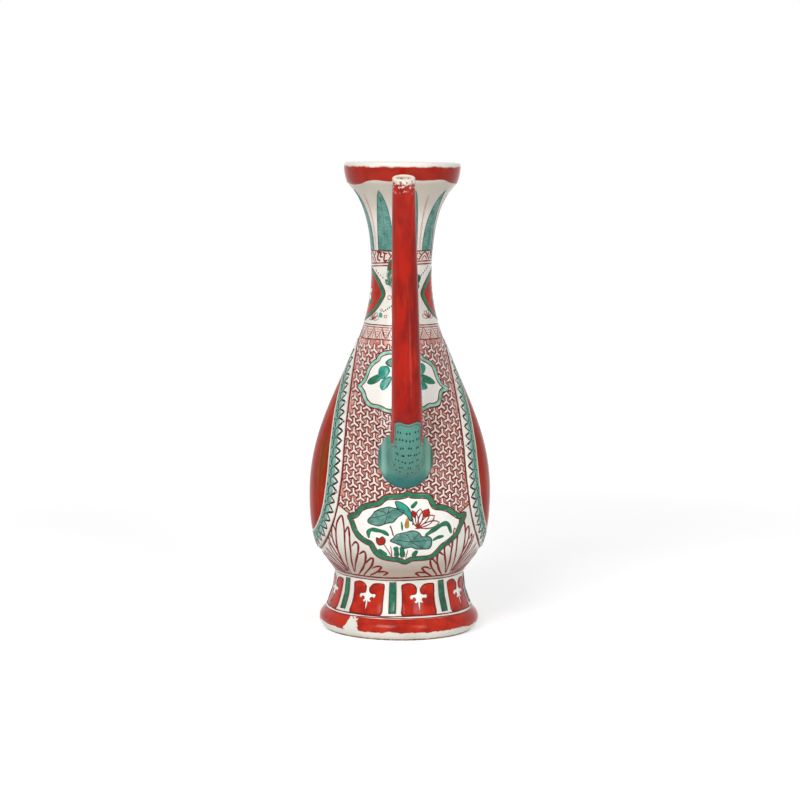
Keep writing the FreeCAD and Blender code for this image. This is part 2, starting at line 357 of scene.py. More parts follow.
class Wire:
    # a socket of a material; sums written with it become Math nodes
    def __init__(self, paint, socket):
        self.paint = paint
        self.socket = socket

    def __add__(self, other):
        return self.paint.math("ADD", self, other)

    def __mul__(self, other):
        return self.paint.math("MULTIPLY", self, other)

    def __sub__(self, other):
        return self.paint.math("SUBTRACT", self, other)

    def __rsub__(self, other):
        return self.paint.math("SUBTRACT", other, self)

    __radd__ = __add__
    __rmul__ = __mul__

    def most(self, other):
        return self.paint.math("MAXIMUM", self, other)

    def size(self):
        return self.paint.math("ABSOLUTE", self)

    def rise(self, low, high):
        # 0 below low, 1 above high and smooth between; low may be the larger one
        sockets = {"Value": self, "From Min": low, "From Max": high}
        return self.paint.wire("ShaderNodeMapRange", {"interpolation_type": "SMOOTHSTEP"}, sockets)


class Paint:
    # one material and its nodes
    def __init__(self, name):
        self.material = bpy.data.materials.new(name)
        self.material.use_nodes = True
        self.tree = self.material.node_tree
        self.tree.nodes.clear()
        self.place = self.node("ShaderNodeTexCoord")

    def node(self, kind, settings=None, inputs=None):
        return addNode(self.tree, kind, settings, inputs)

    def wire(self, kind, settings=None, inputs=None, output=0):
        return Wire(self, self.node(kind, settings, inputs).outputs[output])

    def math(self, operation, *sockets):
        return self.wire("ShaderNodeMath", {"operation": operation}, dict(enumerate(sockets)))

    def where(self):
        # the point on the piece, in millimetres
        scale = {0: self.place.outputs["Object"], "Scale": 1 / mm}
        return self.wire("ShaderNodeVectorMath", {"operation": "SCALE"}, scale)

    def axes(self):
        split = self.node("ShaderNodeSeparateXYZ", None, {0: self.where()})
        return [Wire(self, socket) for socket in split.outputs]

    def length(self, x, y):
        return self.math("SQRT", x * x + y * y)

    def noise(self, grain, detail=2.0, roughness=0.5, shift=(0, 0, 0), stretch=(1, 1, 1)):
        # grain is the size of a blotch in millimetres
        sockets = {"Vector": self.where(), "Location": shift, "Scale": stretch}
        moved = self.wire("ShaderNodeMapping", None, sockets)
        sockets = {"Vector": moved, "Scale": 1 / grain, "Detail": detail, "Roughness": roughness}
        return self.wire("ShaderNodeTexNoise", None, sockets)

    def blotch(self, grain, low=0.3, high=0.7, **kind):
        # noise with its middle spread out, 0 below low and 1 above high
        return self.noise(grain, **kind).rise(low, high)

    def value(self, name):
        return self.wire("ShaderNodeAttribute", {"attribute_name": name}, None, "Fac")

    def mix(self, mask, under, over):
        settings = {"data_type": "RGBA", "clamp_factor": True}
        return self.wire("ShaderNodeMix", settings, {0: mask, 6: under, 7: over}, 2)

    def shade(self, colour, shine=0.3, depth=0.3, roughness=None, coat=0.0, bump=None):
        # shine is the specular level, depth the height of the glaze's ripples in mm, or None
        roughness = glaze["enamelRoughness"] if roughness is None else roughness
        inputs = {"Base Color": colour, "Roughness": roughness, "Specular IOR Level": shine}
        inputs.update({"Coat Weight": coat, "Coat Roughness": glaze["coatRoughness"]})
        if depth is not None:
            sockets = {"Height": bump or glazeBump(self), "Distance": depth * mm, "Strength": 1.0}
            inputs["Normal"] = self.wire("ShaderNodeBump", None, sockets)
        shader = self.node("ShaderNodeBsdfPrincipled", None, inputs)
        self.node("ShaderNodeOutputMaterial", None, {"Surface": shader.outputs[0]})
        return self.material


# glazes and enamels

glaze = {
    "body": srgb(232, 228, 218),
    "pooled": srgb(214, 214, 204),
    "ironSpot": srgb(168, 142, 110),
    "bareClay": srgb(150, 112, 78),
    "red": srgb(190, 42, 18),
    "redDeep": srgb(156, 26, 14),
    "redThin": srgb(214, 82, 44),
    "redDipped": srgb(142, 28, 10),
    "line": srgb(104, 18, 22),
    "black": srgb(34, 26, 26),
    "wash": srgb(214, 142, 124),
    "washDeep": srgb(180, 74, 60),
    "washPatch": srgb(176, 70, 58),
    "shaded": srgb(178, 164, 148),
    "turquoise": srgb(112, 166, 150),
    "turquoiseDeep": srgb(18, 118, 110),
    "green": srgb(36, 126, 90),
    "greenDeep": srgb(12, 92, 66),
    "roughness": 0.17,
    "enamelRoughness": 0.16,
    "coatRoughness": 0.05,
    "redShine": 0.17,
    "cloud": dict(grain=26, detail=3, low=0.35),
    "spots": dict(grain=1.1, detail=0, shift=(40, 11, 7), low=0.79, high=0.83),
    "redPools": dict(grain=9, detail=3, roughness=0.55, low=0.34, high=0.66),
    "brushMarks": dict(grain=5, shift=(9, 4, 2), stretch=(1.6, 1.6, 0.16), low=0.35),
    "thinRed": dict(grain=7, detail=3, roughness=0.6, shift=(31, 3, 17), low=0.6, high=0.78),
    "washMottle": dict(grain=3.4, detail=3, roughness=0.65, shift=(5, 1, 8)),
    "washPatches": dict(grain=15, shift=(2, 6, 4)),
    "grit": dict(grain=2.5, detail=3, roughness=0.6, shift=(8, 8, 8), low=0.35, high=0.6),
    "greenPools": dict(detail=3, roughness=0.6, shift=(6, 2, 9), high=0.72),
    "clothMottle": dict(grain=1.3, roughness=0.6, low=0.35),
}


def glazeColour(paint):
    # the grey-white glaze, a little uneven, with a few iron spots
    colour = paint.mix(paint.blotch(**glaze["cloud"]) * 0.7, glaze["body"], glaze["pooled"])
    return paint.mix(paint.blotch(**glaze["spots"]) * 0.5, colour, glaze["ironSpot"])


def redColour(paint, shift=(0, 0, 0)):
    # iron red lies thinner and thicker, in upright brush marks
    pools = paint.blotch(shift=shift, **glaze["redPools"])
    marks = paint.blotch(**glaze["brushMarks"])
    colour = paint.mix(pools, glaze["redDeep"], glaze["red"])
    return paint.mix(paint.blotch(**glaze["thinRed"]) * marks * 0.5, colour, glaze["redThin"])


def greenColour(paint, light, deep, grain=9.0):
    # translucent green: pale where it lies thin, deep where it has pooled
    return paint.mix(paint.blotch(grain, **glaze["greenPools"]), light, deep)


def glazeBump(paint):
    return paint.noise(14, 2) + paint.noise(2.2, 1) * 0.06


def washGlaze(c):
    # white glaze, with a thin mottled red wash where a pattern is drawn over it, and painted shade low on the
    # bowl
    paint = Paint("washGlaze")
    x, y, z = paint.axes()
    reach = (x.size() - c["tipReach"]).most(0.0)
    low = (z - reach * c["edgeSlope"] - c["low"]).rise(-0.1, 0.1)
    ground = low * z.rise(c["high"] + 0.1, c["high"] - 0.1)
    shoulder = z.rise(c["bandLow"] - 0.1, c["bandLow"] + 0.1)
    shoulder = shoulder * z.rise(c["bandHigh"] + 0.1, c["bandHigh"] - 0.1)
    neck = z.rise(c["neckLow"] - 0.8, c["neckLow"] + 0.2)
    neck = neck * z.rise(c["neckHigh"] + 0.1, c["neckHigh"] - 0.1)
    mottle = paint.blotch(**glaze["washMottle"])
    patches = paint.blotch(**glaze["washPatches"])
    wash = paint.mix(mottle, glaze["wash"], glaze["washDeep"])
    wash = paint.mix(patches * c["patchShare"], wash, glaze["washPatch"])
    # painted shade: the glaze is greyed towards the bottom of the bowl, which faces down, away from the lamps
    pooled = z.rise(c["bowlShadeHigh"], c["bowlShadeLow"]) * c["bowlShadeShare"]
    white = paint.mix(pooled, glazeColour(paint), glaze["shaded"])
    (plain, more), (bandPlain, bandMore) = c["groundWash"], c["bandWash"]
    colour = paint.mix(ground * (plain + mottle * more), white, wash)
    bands = (shoulder * c["shoulderShare"]).most(neck * c["neckShare"])
    colour = paint.mix(bands * (bandPlain + mottle * bandMore), colour, glaze["wash"])
    return paint.shade(colour, 0.5, 0.0, glaze["roughness"] + 0.03, coat=0.3)


def mouthGlaze(c):
    # the lip is dipped in iron red: the lower edge wavers, the top is rubbed back to white; below the band the
    # white has painted shade
    paint = Paint("mouthGlaze")
    x, y, z = paint.axes()
    wave = paint.noise(c["waveLength"], shift=(3, 9, 0), stretch=(1, 1, 0.01)) - 0.5
    ripple = paint.noise(c["rippleLength"], roughness=0.6, shift=(7, 1, 0)) - 0.5
    drop = x.size().rise(*c["sideFrom"]) * c["sideDrop"]
    low = (z - c["bandLow"] - wave * c["waveDepth"] + drop).rise(-0.25, 0.25)
    high = (z - c["bandHigh"] - ripple * c["rubbed"]).rise(0.5, -0.9)
    outside = (x * x + y * y).rise(c["insideRadius"] ** 2 - 20, c["insideRadius"] ** 2)
    # painted shade on the cup's white below the band, where the flare faces down
    cupShade = z.rise(cupZ, cupZ + c["cupShadeRise"]) * z.rise(*c["cupShadeEnd"]) * 0.55
    white = paint.mix(cupShade, glazeColour(paint), glaze["shaded"])
    red = paint.mix(0.6, redColour(paint), glaze["redDipped"])
    colour = paint.mix(low * high * outside, white, red)
    return paint.shade(colour, glaze["redShine"], 0.1, glaze["roughness"])


def footGlaze(c):
    # iron red on the roll with a worn gap, white glaze under it and a bare edge on the ground
    paint = Paint("footGlaze")
    x, y, z = paint.axes()
    ripple = paint.noise(c["rippleLength"], detail=3, roughness=0.6) - 0.5
    low = (z - c["bandLow"] - ripple * c["rippleDepth"]).rise(-0.3, 0.3)
    high = (z - c["bandHigh"] - ripple * 0.3).rise(0.2, -0.2)
    gapX, gapY = c["gapAt"]
    away = paint.length(x - gapX, y - gapY)
    worn = paint.noise(5, 3, 0.7, (2, 5, 1)) * 16
    gap = (away + z * 0.5 + worn - 12).rise(c["gapSize"], c["gapSize"] + 1.2)
    outside = (x * x + y * y).rise(c["innerRadius"] ** 2 - 20, c["innerRadius"] ** 2)
    colour = paint.mix(low * high * gap * outside, glazeColour(paint), redColour(paint, (4, 4, 4)))
    edge = (z - ripple * 1.2).rise(c["bareHeight"] + 0.5, c["bareHeight"] - 0.3)
    grit = paint.blotch(**glaze["grit"])
    colour = paint.mix(edge * (0.45 + grit * 0.5), colour, glaze["bareClay"])
    rough = edge * 0.5 + glaze["roughness"]
    return paint.shade(colour, glaze["redShine"], 0.35, rough, bump=glazeBump(paint) + edge * grit * 0.2)


def redEnamel():
    paint = Paint("ironRedEnamel")
    return paint.shade(redColour(paint), glaze["redShine"])


# the thrown pieces

mouthBand = {
    "bandLow": 288.6,
    "bandHigh": 297.4,
    "waveLength": 30.0,
    "waveDepth": 7.5,
    "sideDrop": 2.4,          # the band hangs lower at the sides
    "sideFrom": (23, 31),
    "rippleLength": 9.0,
    "rubbed": 3.4,
    "insideRadius": 34.2,
    # the next two set painted shade on the cup's white, from its seam up to the band
    "cupShadeRise": 14,           # the cup's white is darker from its seam up to the band
    "cupShadeEnd": (292, 288),
}
footBand = {
    "bandLow": 5.5,
    "bandHigh": 13.6,
    "rippleLength": 12.0,
    "rippleDepth": 5.0,
    "gapAt": (-32.0, -39.0),
    "gapSize": 4.6,
    "bareHeight": 1.1,
    "innerRadius": 43.0,
}
washBands = {
    "tipReach": 34.0,
    "edgeSlope": 0.75,
    "low": 80.3,
    "high": 188.5,
    "bandLow": 188.5,
    "bandHigh": 197.4,
    "neckLow": 235.2,
    "neckHigh": 244.0,
    # painted shade low on the bowl: full below the first height, none above the second, and its strength
    "bowlShadeLow": 46.0,
    "bowlShadeHigh": 64.0,
    "bowlShadeShare": 0.85,
    # strength of the wash, plain and added where it is mottled
    "groundWash": (0.75, 0.2),
    "bandWash": (0.7, 0.5),
    "shoulderShare": 0.42,
    "neckShare": 0.36,
    "patchShare": 0.35,
}

washed = washGlaze(washBands)


def makeFoot():
    outer = rowsBetween(outerRows, 0, waistZ)
    inside = bezier([(innerWaist, waistZ), (innerWaist, waistZ / 2), (thrown["hollowRadius"], 0.0)], 24)
    lathe("footRing", np.concatenate([outer, inside]), "foot_ring", footGlaze(footBand))


def makeBowl():
    outer = rowsBetween(outerRows, waistZ, bellyZ)
    inner = rowsBetween(innerRows, floorZ, bellyZ)[::-1]
    lathe("bodyBowl", np.concatenate([[(0.0, waistZ)], outer, inner, [(0.0, floorZ)]]), "body_lower", washed)


def makeRing(name, node, low, high, material):
    outer = rowsBetween(outerRows, low, high)
    inner = rowsBetween(innerRows, low, high)[::-1]
    lathe(name, np.concatenate([outer, inner]), node, material)


def makeMouth():
    outer = rowsBetween(outerRows, cupZ, lipTopZ)
    middle = (lipRadius + thrown["seatRadius"]) / 2
    half = (lipRadius - thrown["seatRadius"]) / 2
    rise = lipZ - lipTopZ
    radius = (half * half + rise * rise) / (2 * rise)
    reach = math.degrees(math.asin(half / radius))
    rim = arcPoints((middle, lipZ - radius), radius, 90 - reach, 90 + reach, 14)[1:]
    seat = [(thrown["seatRadius"], z) for z in np.linspace(lipTopZ, seatZ, 6)[1:-1]]
    inner = rowsBetween(innerRows, cupZ, seatZ)[::-1]
    lathe("mouthCup", np.concatenate([outer, rim, seat, inner]), "mouth_cup", mouthGlaze(mouthBand))


makeFoot()
makeBowl()
makeRing("bodyShoulder", "body_upper", bellyZ, shoulderZ, washed)
makeRing("neckTube", "neck_tube", shoulderZ, cupZ, washed)
makeMouth()
print("thrown pieces made")


# moulded leaf panels on the sides

panelLeaf = {
    "halfWidth": 41.0,
    "widestRise": 11.0,       # above the belly seam
    "tipDrop": 12.0,          # below the shoulder seam
    "footRise": 15.0,         # above the waist
    "tipShares": (0.30, 0.14),
    "sideShare": 0.36,
    "lowShares": (0.52, 0.73),
    "relief": 0.88,
    "softEdge": 1.3,
    "rimDepth": 0.25,         # how far its rim and its underside lie in the wall
    "underDepth": 0.4,
    "grain": 1.5,             # size of the mesh's facets
}


def leafOutline(steps=90):
    # half of the leaf's outline, from its foot up to its tip, as (width, height)
    c = panelLeaf
    tipZ = shoulderZ - c["tipDrop"]
    wideZ = bellyZ + c["widestRise"]
    lowZ = waistZ + c["footRise"]
    width = c["halfWidth"]
    drop, rise = wideZ - lowZ, tipZ - wideZ
    (side, flat), (narrow, short) = c["lowShares"], c["tipShares"]
    lower = [(0, lowZ), (width * flat, lowZ), (width, wideZ - drop * side), (width, wideZ)]
    upper = [(width, wideZ), (width, wideZ + rise * c["sideShare"])]
    upper += [(width * narrow, tipZ - rise * short), (0, tipZ)]
    return joined(bezier(lower, steps), bezier(upper, steps))


leafHalf = leafOutline()
leafRim = np.concatenate([leafHalf, leafHalf[-2:0:-1] * (-1, 1)])


def sideAngle(width, z):
    # the wall's angle at a distance from the vessel's middle plane, on the +X side
    return math.pi / 2 + np.arcsin(np.clip(width / wallRadius(z), -1, 1))


def onSide(points):
    # (width, height) rows of a side panel as (angle, height) rows of the wall
    return pairs(sideAngle(points[:, 0], points[:, 1]), points[:, 1])


def edgeDistance(points, outline):
    # how far each point lies from a closed outline, flat or in space
    best = np.full(len(points), 1e9)
    for a, d in zip(outline, np.roll(outline, -1, axis=0) - outline):
        share = np.clip(((points - a) @ d) / max(d @ d, 1e-12), 0, 1)
        best = np.minimum(best, np.linalg.norm(points - a - share[:, None] * d, axis=1))
    return best


def rimDistance(points):
    # how far inside the leaf's outline a point lies, measured over the curved wall
    return edgeDistance(onWall(*onSide(points).T), onWall(*onSide(leafRim).T))


def counterClockwise(outline):
    x, y = outline.T
    area = (x * np.roll(y, -1) - y * np.roll(x, -1)).sum()
    return outline if area > 0 else outline[::-1]


def crossed(points, outline):
    # whether each point lies inside a closed outline
    crossings = np.zeros(len(points), int)
    for a, b in zip(outline, np.roll(outline, -1, axis=0)):
        if a[1] != b[1]:
            x = a[0] + (points[:, 1] - a[1]) * (b[0] - a[0]) / (b[1] - a[1])
            crossings += ((a[1] > points[:, 1]) != (b[1] > points[:, 1])) & (x > points[:, 0])
    return crossings % 2 == 1


def fillOutline(outline, grain):
    # triangles inside a closed outline, with inner points a grain apart
    low, high = outline.min(axis=0), outline.max(axis=0)
    rows = max(1, int((high[1] - low[1]) / (grain * 0.87)))
    inner = [np.zeros((0, 2))]
    for i in range(1, rows):
        x = np.arange(low[0] + (grain / 2 if i % 2 else 0.0), high[0], grain)
        inner.append(pairs(x, low[1] + (high[1] - low[1]) * i / rows))
    inner = np.concatenate(inner)
    inner = inner[crossed(inner, outline) & (edgeDistance(inner, outline) > grain * 0.45)]
    points = np.concatenate([outline, inner])
    count = len(outline)
    edges = [(i, (i + 1) % count) for i in range(count)]
    made = delaunay_2d_cdt([Vector(p) for p in points], edges, [], 1, 1e-7)
    flat = np.array([tuple(p) for p in made[0]])
    faces = []
    for face in made[2]:
        a, b, c = flat[list(face[:3])]
        turn = (b[0] - a[0]) * (c[1] - a[1]) - (b[1] - a[1]) * (c[0] - a[0])
        faces.append(tuple(face) if turn > 0 else tuple(reversed(face)))
    return flat, faces


def filled(outline, grain):
    # the triangles of an outline, with each point's distance from the edge
    flat, faces = fillOutline(outline, grain)
    distance = edgeDistance(flat, outline)
    distance[: len(outline)] = 0
    return flat, faces, distance


def closedShell(top, bottom, faces, rimCount):
    # a sheet and its underside, which share the rim
    beyond = len(top) - rimCount
    under = [tuple(i if i < rimCount else i + beyond for i in reversed(f)) for f in faces]
    return np.concatenate([top, bottom[rimCount:]]), list(faces) + under


def standingShell(top, bottom, faces, rimCount):
    # a sheet and its underside with a small upright edge between them
    count = len(top)
    both = list(faces) + [tuple(count + i for i in reversed(f)) for f in faces]
    for i in range(rimCount):
        j = (i + 1) % rimCount
        both.append((j, i, count + i, count + j))
    return np.concatenate([top, bottom]), both


def makePanel(name, node, mirrored, material):
    c = panelLeaf
    dense = leafRim[::2]
    flat, faces = fillOutline(dense, c["grain"])
    distance = rimDistance(flat)
    distance[: len(dense)] = 0
    share = np.clip(distance / c["softEdge"], 0, 1)
    lift = (c["relief"] + c["rimDepth"]) * (share * (2 - share)) ** 0.8 - c["rimDepth"]
    theta, z = onSide(flat).T
    points, faces = closedShell(onWall(theta, z, lift), onWall(theta, z, -c["underDepth"]), faces, len(dense))
    if mirrored:
        points, faces = points * (-1, 1, 1), flipped(faces)
    piece = makeMesh(name, points, faces)
    addValue(piece, "rimDistance", np.concatenate([distance, distance[len(dense):]]))
    return finish(piece, node, material)


panelBands = {
    "rimLine": 0.5,
    "whiteTo": 6.0,
    "greenTo": 12.0,
    "paleTo": 13.0,
    "browning": (-50.5, -23.0, 112.0),   # a stained place in the left red field
    "green": srgb(80, 142, 126),
    "red": srgb(166, 38, 14),
    "redDeep": srgb(132, 24, 10),
    "redStreak": srgb(206, 78, 34),
    "brown": srgb(98, 66, 26),
    "greenPools": dict(grain=6, detail=3, roughness=0.6, shift=(5, 5, 5), high=0.75),
    "redPools": dict(grain=16, detail=3, shift=(8, 1, 2)),
    "streaks": dict(
        grain=5, detail=3, roughness=0.6, shift=(3, 8, 1), stretch=(1, 1, 0.12), low=0.5, high=0.75
    ),
}


def panelEnamel():
    c = panelBands
    paint = Paint("panelEnamel")
    shake = (paint.noise(7, shift=(1, 2, 3)) - 0.5) * 1.1
    inner = paint.value("rimDistance") + shake
    field = inner.rise(c["paleTo"] - 0.2, c["paleTo"] + 0.2)
    green = inner.rise(c["whiteTo"] - 0.5, c["whiteTo"] + 0.5)
    green = green * inner.rise(c["greenTo"] + 0.2, c["greenTo"] - 0.2)
    greens = paint.mix(paint.blotch(**c["greenPools"]), glaze["turquoise"], c["green"])
    colour = paint.mix(green * 0.92, glazeColour(paint), greens)
    red = paint.mix(paint.blotch(**c["redPools"]) * 0.5, c["red"], c["redDeep"])
    red = paint.mix(paint.blotch(**c["streaks"]) * 0.6, red, c["redStreak"])
    x, y, z = (axis - middle for axis, middle in zip(paint.axes(), c["browning"]))
    stain = paint.math("SQRT", x * x + y * y + z * z * 0.12)
    stain = (stain + paint.noise(6) * 6 - 3).rise(10, 2)
    red = paint.mix(stain * 0.55, red, c["brown"])
    colour = paint.mix(field, colour, red)
    line = inner.rise(c["rimLine"] + 0.15, c["rimLine"] - 0.15)
    return paint.shade(paint.mix(line, colour, glaze["line"]), 0.02, 0.12)


panelMaterial = panelEnamel()
leftPanel = makePanel("leafPanelLeft", "side_panel_left", True, panelMaterial)
rightPanel = makePanel("leafPanelRight", "side_panel_right", False, panelMaterial)
print("leaf panels made")


# spout, its swelling, and the strut to the neck

spoutShape = {
    "rootInset": 9.5,         # its root starts inside the wall
    "rootRise": 22.5,         # above the belly seam
    "rootRun": 14.0,
    "rootAngle": 17.0,
    "kneeReach": 17.5,        # beyond the widest ring
    "kneeRise": 66.0,
    "kneeRunIn": 26.0,
    "kneeRunOut": 46.0,
    "kneeAngle": 5.0,
    "tipReach": 20.5,
    "tipDrop": 8.66,          # below the lip
    "tipRun": 50.0,
    "tipAngle": 15.0,
    "sway": -4.2,
    "radii": (11.6, 9.36, 6.96),
    "boreRadii": (5.6, 4.85, 4.1),
    "tipRound": 0.9,
}


def spoutPath(steps=40):
    # stations from root to tip: place, share of the way (0 to 2)
    c = spoutShape
    root = (bellyRadius - c["rootInset"], bellyZ + c["rootRise"])
    knee = (bellyRadius + c["kneeReach"], bellyZ + c["kneeRise"])
    tip = (bellyRadius + c["tipReach"], lipZ - c["tipDrop"])
    lean = -c["kneeAngle"]
    first = [root, pole(root, c["rootRun"], 90 - c["rootAngle"]), pole(knee, -c["kneeRunIn"], lean), knee]
    second = [knee, pole(knee, c["kneeRunOut"], lean), pole(tip, -c["tipRun"], c["tipAngle"]), tip]
    share = np.linspace(0, 2, 2 * steps + 1)
    out, z = joined(bezier(first, steps), bezier(second, steps)).T
    return np.stack([c["sway"] * (share / 2) ** 2, -out, z], axis=1), share


spoutPlaces, spoutShares = spoutPath()
spoutSteps = np.linalg.norm(np.diff(spoutPlaces, axis=0), axis=1)
spoutRun = np.concatenate([[0.0], np.cumsum(spoutSteps)])


def spoutFrame(share, step=0.02):
    # centre, direction, sideways and outwards at a share of the way along
    centre, ahead, behind = (
        np.array([np.interp(at, spoutShares, spoutPlaces[:, k]) for k in range(3)])
        for at in (share, share + step, share - step)
    )
    direction = (ahead - behind) / np.linalg.norm(ahead - behind)
    sideways = np.array((1.0, 0.0, 0.0))
    sideways = sideways - direction * (sideways @ direction)
    sideways /= np.linalg.norm(sideways)
    return centre, direction, sideways, np.cross(sideways, direction)


def spoutRadius(share, key="radii"):
    return np.interp(share, (0, 1, 2), spoutShape[key])


def onSpout(share, around, lift=0.0):
    # around is 0 on the side that looks away from the body and grows towards +X
    centre, _, sideways, outwards = spoutFrame(share)
    radius = spoutRadius(share) + lift
    return centre + radius * (math.sin(around) * sideways + math.cos(around) * outwards)


def makeSpout(material, segments=56):
    c = spoutShape
    # stations close together at the tip, where the shape turns in to the bore
    shares = np.concatenate([np.linspace(0.0, 1.96, 84), np.linspace(1.97, 2.0, 6)])
    last, bore = spoutRadius(2.0), spoutRadius(2.0, "boreRadii")
    middle, half = (last + bore) / 2, (last - bore) / 2
    path = [(share, spoutRadius(share), 0.0) for share in shares]
    for turn in np.linspace(0, math.pi, 9)[1:-1]:
        path.append((2.0, middle + half * math.cos(turn), c["tipRound"] * math.sin(turn)))
    path.extend((share, spoutRadius(share, "boreRadii"), 0.0) for share in np.linspace(2.0, 0.06, 40))
    points, along = [], []
    turns = circle(segments)
    for share, radius, beyond in path:
        centre, direction, sideways, outwards = spoutFrame(share)
        ring = centre + direction * (beyond - (c["tipRound"] if share == 2.0 else 0.0))
        points.append(ring + radius * (np.sin(turns)[:, None] * sideways + np.cos(turns)[:, None] * outwards))
        along.append(np.full(segments, np.interp(share, spoutShares, spoutRun) + beyond))
    around = np.tile(np.where(turns > math.pi, turns - 2 * math.pi, turns), len(path))
    piece = makeMesh("spoutTube", np.concatenate(points), gridFaces(len(path), segments, wrapRows=True))
    addValue(piece, "along", np.concatenate(along))
    addValue(piece, "aroundSide", np.sin(around))
    addValue(piece, "aroundFront", np.cos(around))
    sharpen(piece, 50)
    return finish(piece, "spout_tube", material)


bossShape = {
    "rise": 27.5,             # above the belly seam
    "radius": 18.5,
    "edgeHeight": 5.4,        # how high the pressed-on edge stands
    "edgeInset": 3.8,
    "joinShares": (0.36, 0.56),   # where it runs out on the spout, below and above
    "uneven": 0.015,
    "rimDepth": 0.3,          # in the wall
    "under": (2.0, 1.2),      # inset and depth of its underside
    "tuckDepths": (1.5, 2.0),     # in the spout, where it ends and near the spout's root
    "tuckShare": 0.12,
    # poles of its curves, as runs along the wall's normal and out from its middle
    "rimPull": (3.6, 0.5),
    "edgePull": (-0.9, 2.4),
    "domePull": (0.7, -1.6),
    "endRun": 5.5,
}


def bossFrame():
    z = bellyZ + bossShape["rise"]
    centre = onWall(0.0, z)
    normal = onWall(0.0, z, 1.0) - centre
    sideways = np.array((1.0, 0.0, 0.0))
    return centre, normal, sideways, np.cross(normal, sideways)


def nearWall(points, lift):
    # points near the wall, moved straight in or out to lie on it
    return onWall(np.arctan2(points[..., 0], -points[..., 1]), points[..., 2], lift)


def makeBoss(material, columns=88):
    c = bossShape
    centre, normal, sideways, up = bossFrame()
    low, high = c["joinShares"]
    lines = []
    for turn in circle(columns):
        radial = math.sin(turn) * sideways + math.cos(turn) * up

        def pulled(point, key):
            return point + normal * c[key][0] + radial * c[key][1]

        reach = c["radius"] * (1 + c["uneven"] * math.sin(2 * turn + 0.8))
        rim = nearWall(centre + radial * reach, -c["rimDepth"])
        edge = rim - radial * c["edgeInset"] + normal * c["edgeHeight"]
        share = (low + high) / 2 + (high - low) / 2 * math.cos(turn)
        end = onSpout(share, math.pi - turn, 0.03)
        rise = bezier([rim, pulled(rim, "rimPull"), pulled(edge, "edgePull"), edge], 10)
        run = bezier([edge, pulled(edge, "domePull"), end - spoutFrame(share)[1] * c["endRun"], end], 14)
        depths = zip((share, c["tuckShare"]), c["tuckDepths"])
        tuck = [onSpout(at, math.pi - turn, -depth) for at, depth in depths]
        under = nearWall(centre + radial * (reach - c["under"][0]), -c["under"][1])
        lines.append(np.concatenate([rise, run[1:], tuck, [under]]))
    points = np.array(lines).transpose(1, 0, 2).reshape(-1, 3)
    piece = makeMesh("spoutBoss", points, flipped(gridFaces(len(lines[0]), columns, wrapRows=True)))
    sharpen(piece, 60)
    return finish(piece, "spout_boss", material)


strutShape = {
    "rise": 30.0,             # above the shoulder seam
    "core": 7.4,
    "lobe": 4.1,
    "lobeAt": (5.5, -1.0),
    "curl": 2.3,
    "curlAt": (6.8, -5.4),
    "rightLess": 1.1,         # its right side is drawn in closer
    "waist": (11.0, 9.0),
    "scoop": 26.0,
    "grip": 3.0,
    "rooted": 1.5,
    "sway": -1.2,
    "redFrom": (7.5, 7.0),    # radius where its green middle turns red
}


def roundOutline(circles, centre, count):
    # the outline of circles that overlap, seen from a point inside them
    outline = []
    for turn in circle(count):
        ray = np.array((math.cos(turn), math.sin(turn)))
        far = 0.0
        for x, y, radius in circles:
            offset = np.array((x, y)) - centre
            along = offset @ ray
            gap = radius**2 - (offset @ offset - along**2)
            if gap > 0:
                far = max(far, along + math.sqrt(gap))
        outline.append(centre + ray * far)
    return np.array(outline)


def makeStrut(material, columns=96, rows=40):
    c = strutShape
    centreZ = shoulderZ + c["rise"]
    circles = [(0, 0, c["core"])]
    for (x, z), radius in ((c["lobeAt"], c["lobe"]), (c["curlAt"], c["curl"])):
        circles += [(-x, z, radius), (x - c["rightLess"], z, radius)]
    cloud = roundOutline(circles, np.array((0.0, -1.5)), columns)
    wide, tall = np.abs(cloud).max(axis=0)
    near = wallRadius(centreZ) - c["rooted"]
    share = np.interp(centreZ, spoutPlaces[:, 2], spoutShares)
    far = -spoutFrame(share)[0][1] - spoutRadius(share) + c["grip"]
    middle = (near + far) / 2
    points = []
    for y in np.linspace(near, far, rows):
        scoop = c["scoop"] - math.sqrt(c["scoop"] ** 2 - (y - middle) ** 2)
        across, upright = (min(1.0, (w / 2 + scoop) / reach) for w, reach in zip(c["waist"], (wide, tall)))
        x, z = (cloud * (across, upright)).T
        points.append(np.stack([x + c["sway"], np.full(columns, -y), centreZ + z], axis=1))
    faces = gridFaces(rows, columns) + endFaces(rows, columns)
    piece = makeMesh("spoutStrut", np.concatenate(points), faces)
    addValue(piece, "height", np.tile(cloud[:, 1] / tall, rows))
    sharpen(piece, 55)
    return finish(piece, "spout_strut", material)


# handle behind, and the leaf at its foot

handleShape = {
    "topInset": 1.7,
    "topDrop": 10.0,          # below the cup seam
    "topRun": (16.5, 20.0),
    "kneeReach": 7.5,         # beyond the widest ring
    "kneeRise": 139.0,        # above the belly seam
    "kneeRunIn": 56.0,
    "kneeRunOut": 42.0,
    "endInset": 7.5,
    "endRise": 24.0,
    "endRun": (14.0, 22.0),
    "widths": (20.0, 17.0, 19.0),
    "thickness": 7.0,
    "edgeRound": 0.62,        # lower values give squarer edges and flatter faces
    "faceRound": 0.55,
    "rooted": 2.6,            # how deep its ends reach into the wall
    # its colours, by distance from the middle line: white border, then green edge
    "borderFrom": (5.7, 6.0),
    "borderTo": (7.1, 6.8),
    "greenFrom": (7.0, 7.3),
}


def handlePath(steps=36):
    c = handleShape
    top = np.array((thrown["neckRadius"] - c["topInset"], cupZ - c["topDrop"]))
    knee = np.array((bellyRadius + c["kneeReach"], bellyZ + c["kneeRise"]))
    end = np.array((bellyRadius - c["endInset"], bellyZ + c["endRise"]))
    first = bezier([top, top + c["topRun"], knee + (0, c["kneeRunIn"]), knee], steps)
    return joined(first, bezier([knee, knee - (0, c["kneeRunOut"]), end + c["endRun"], end], steps))


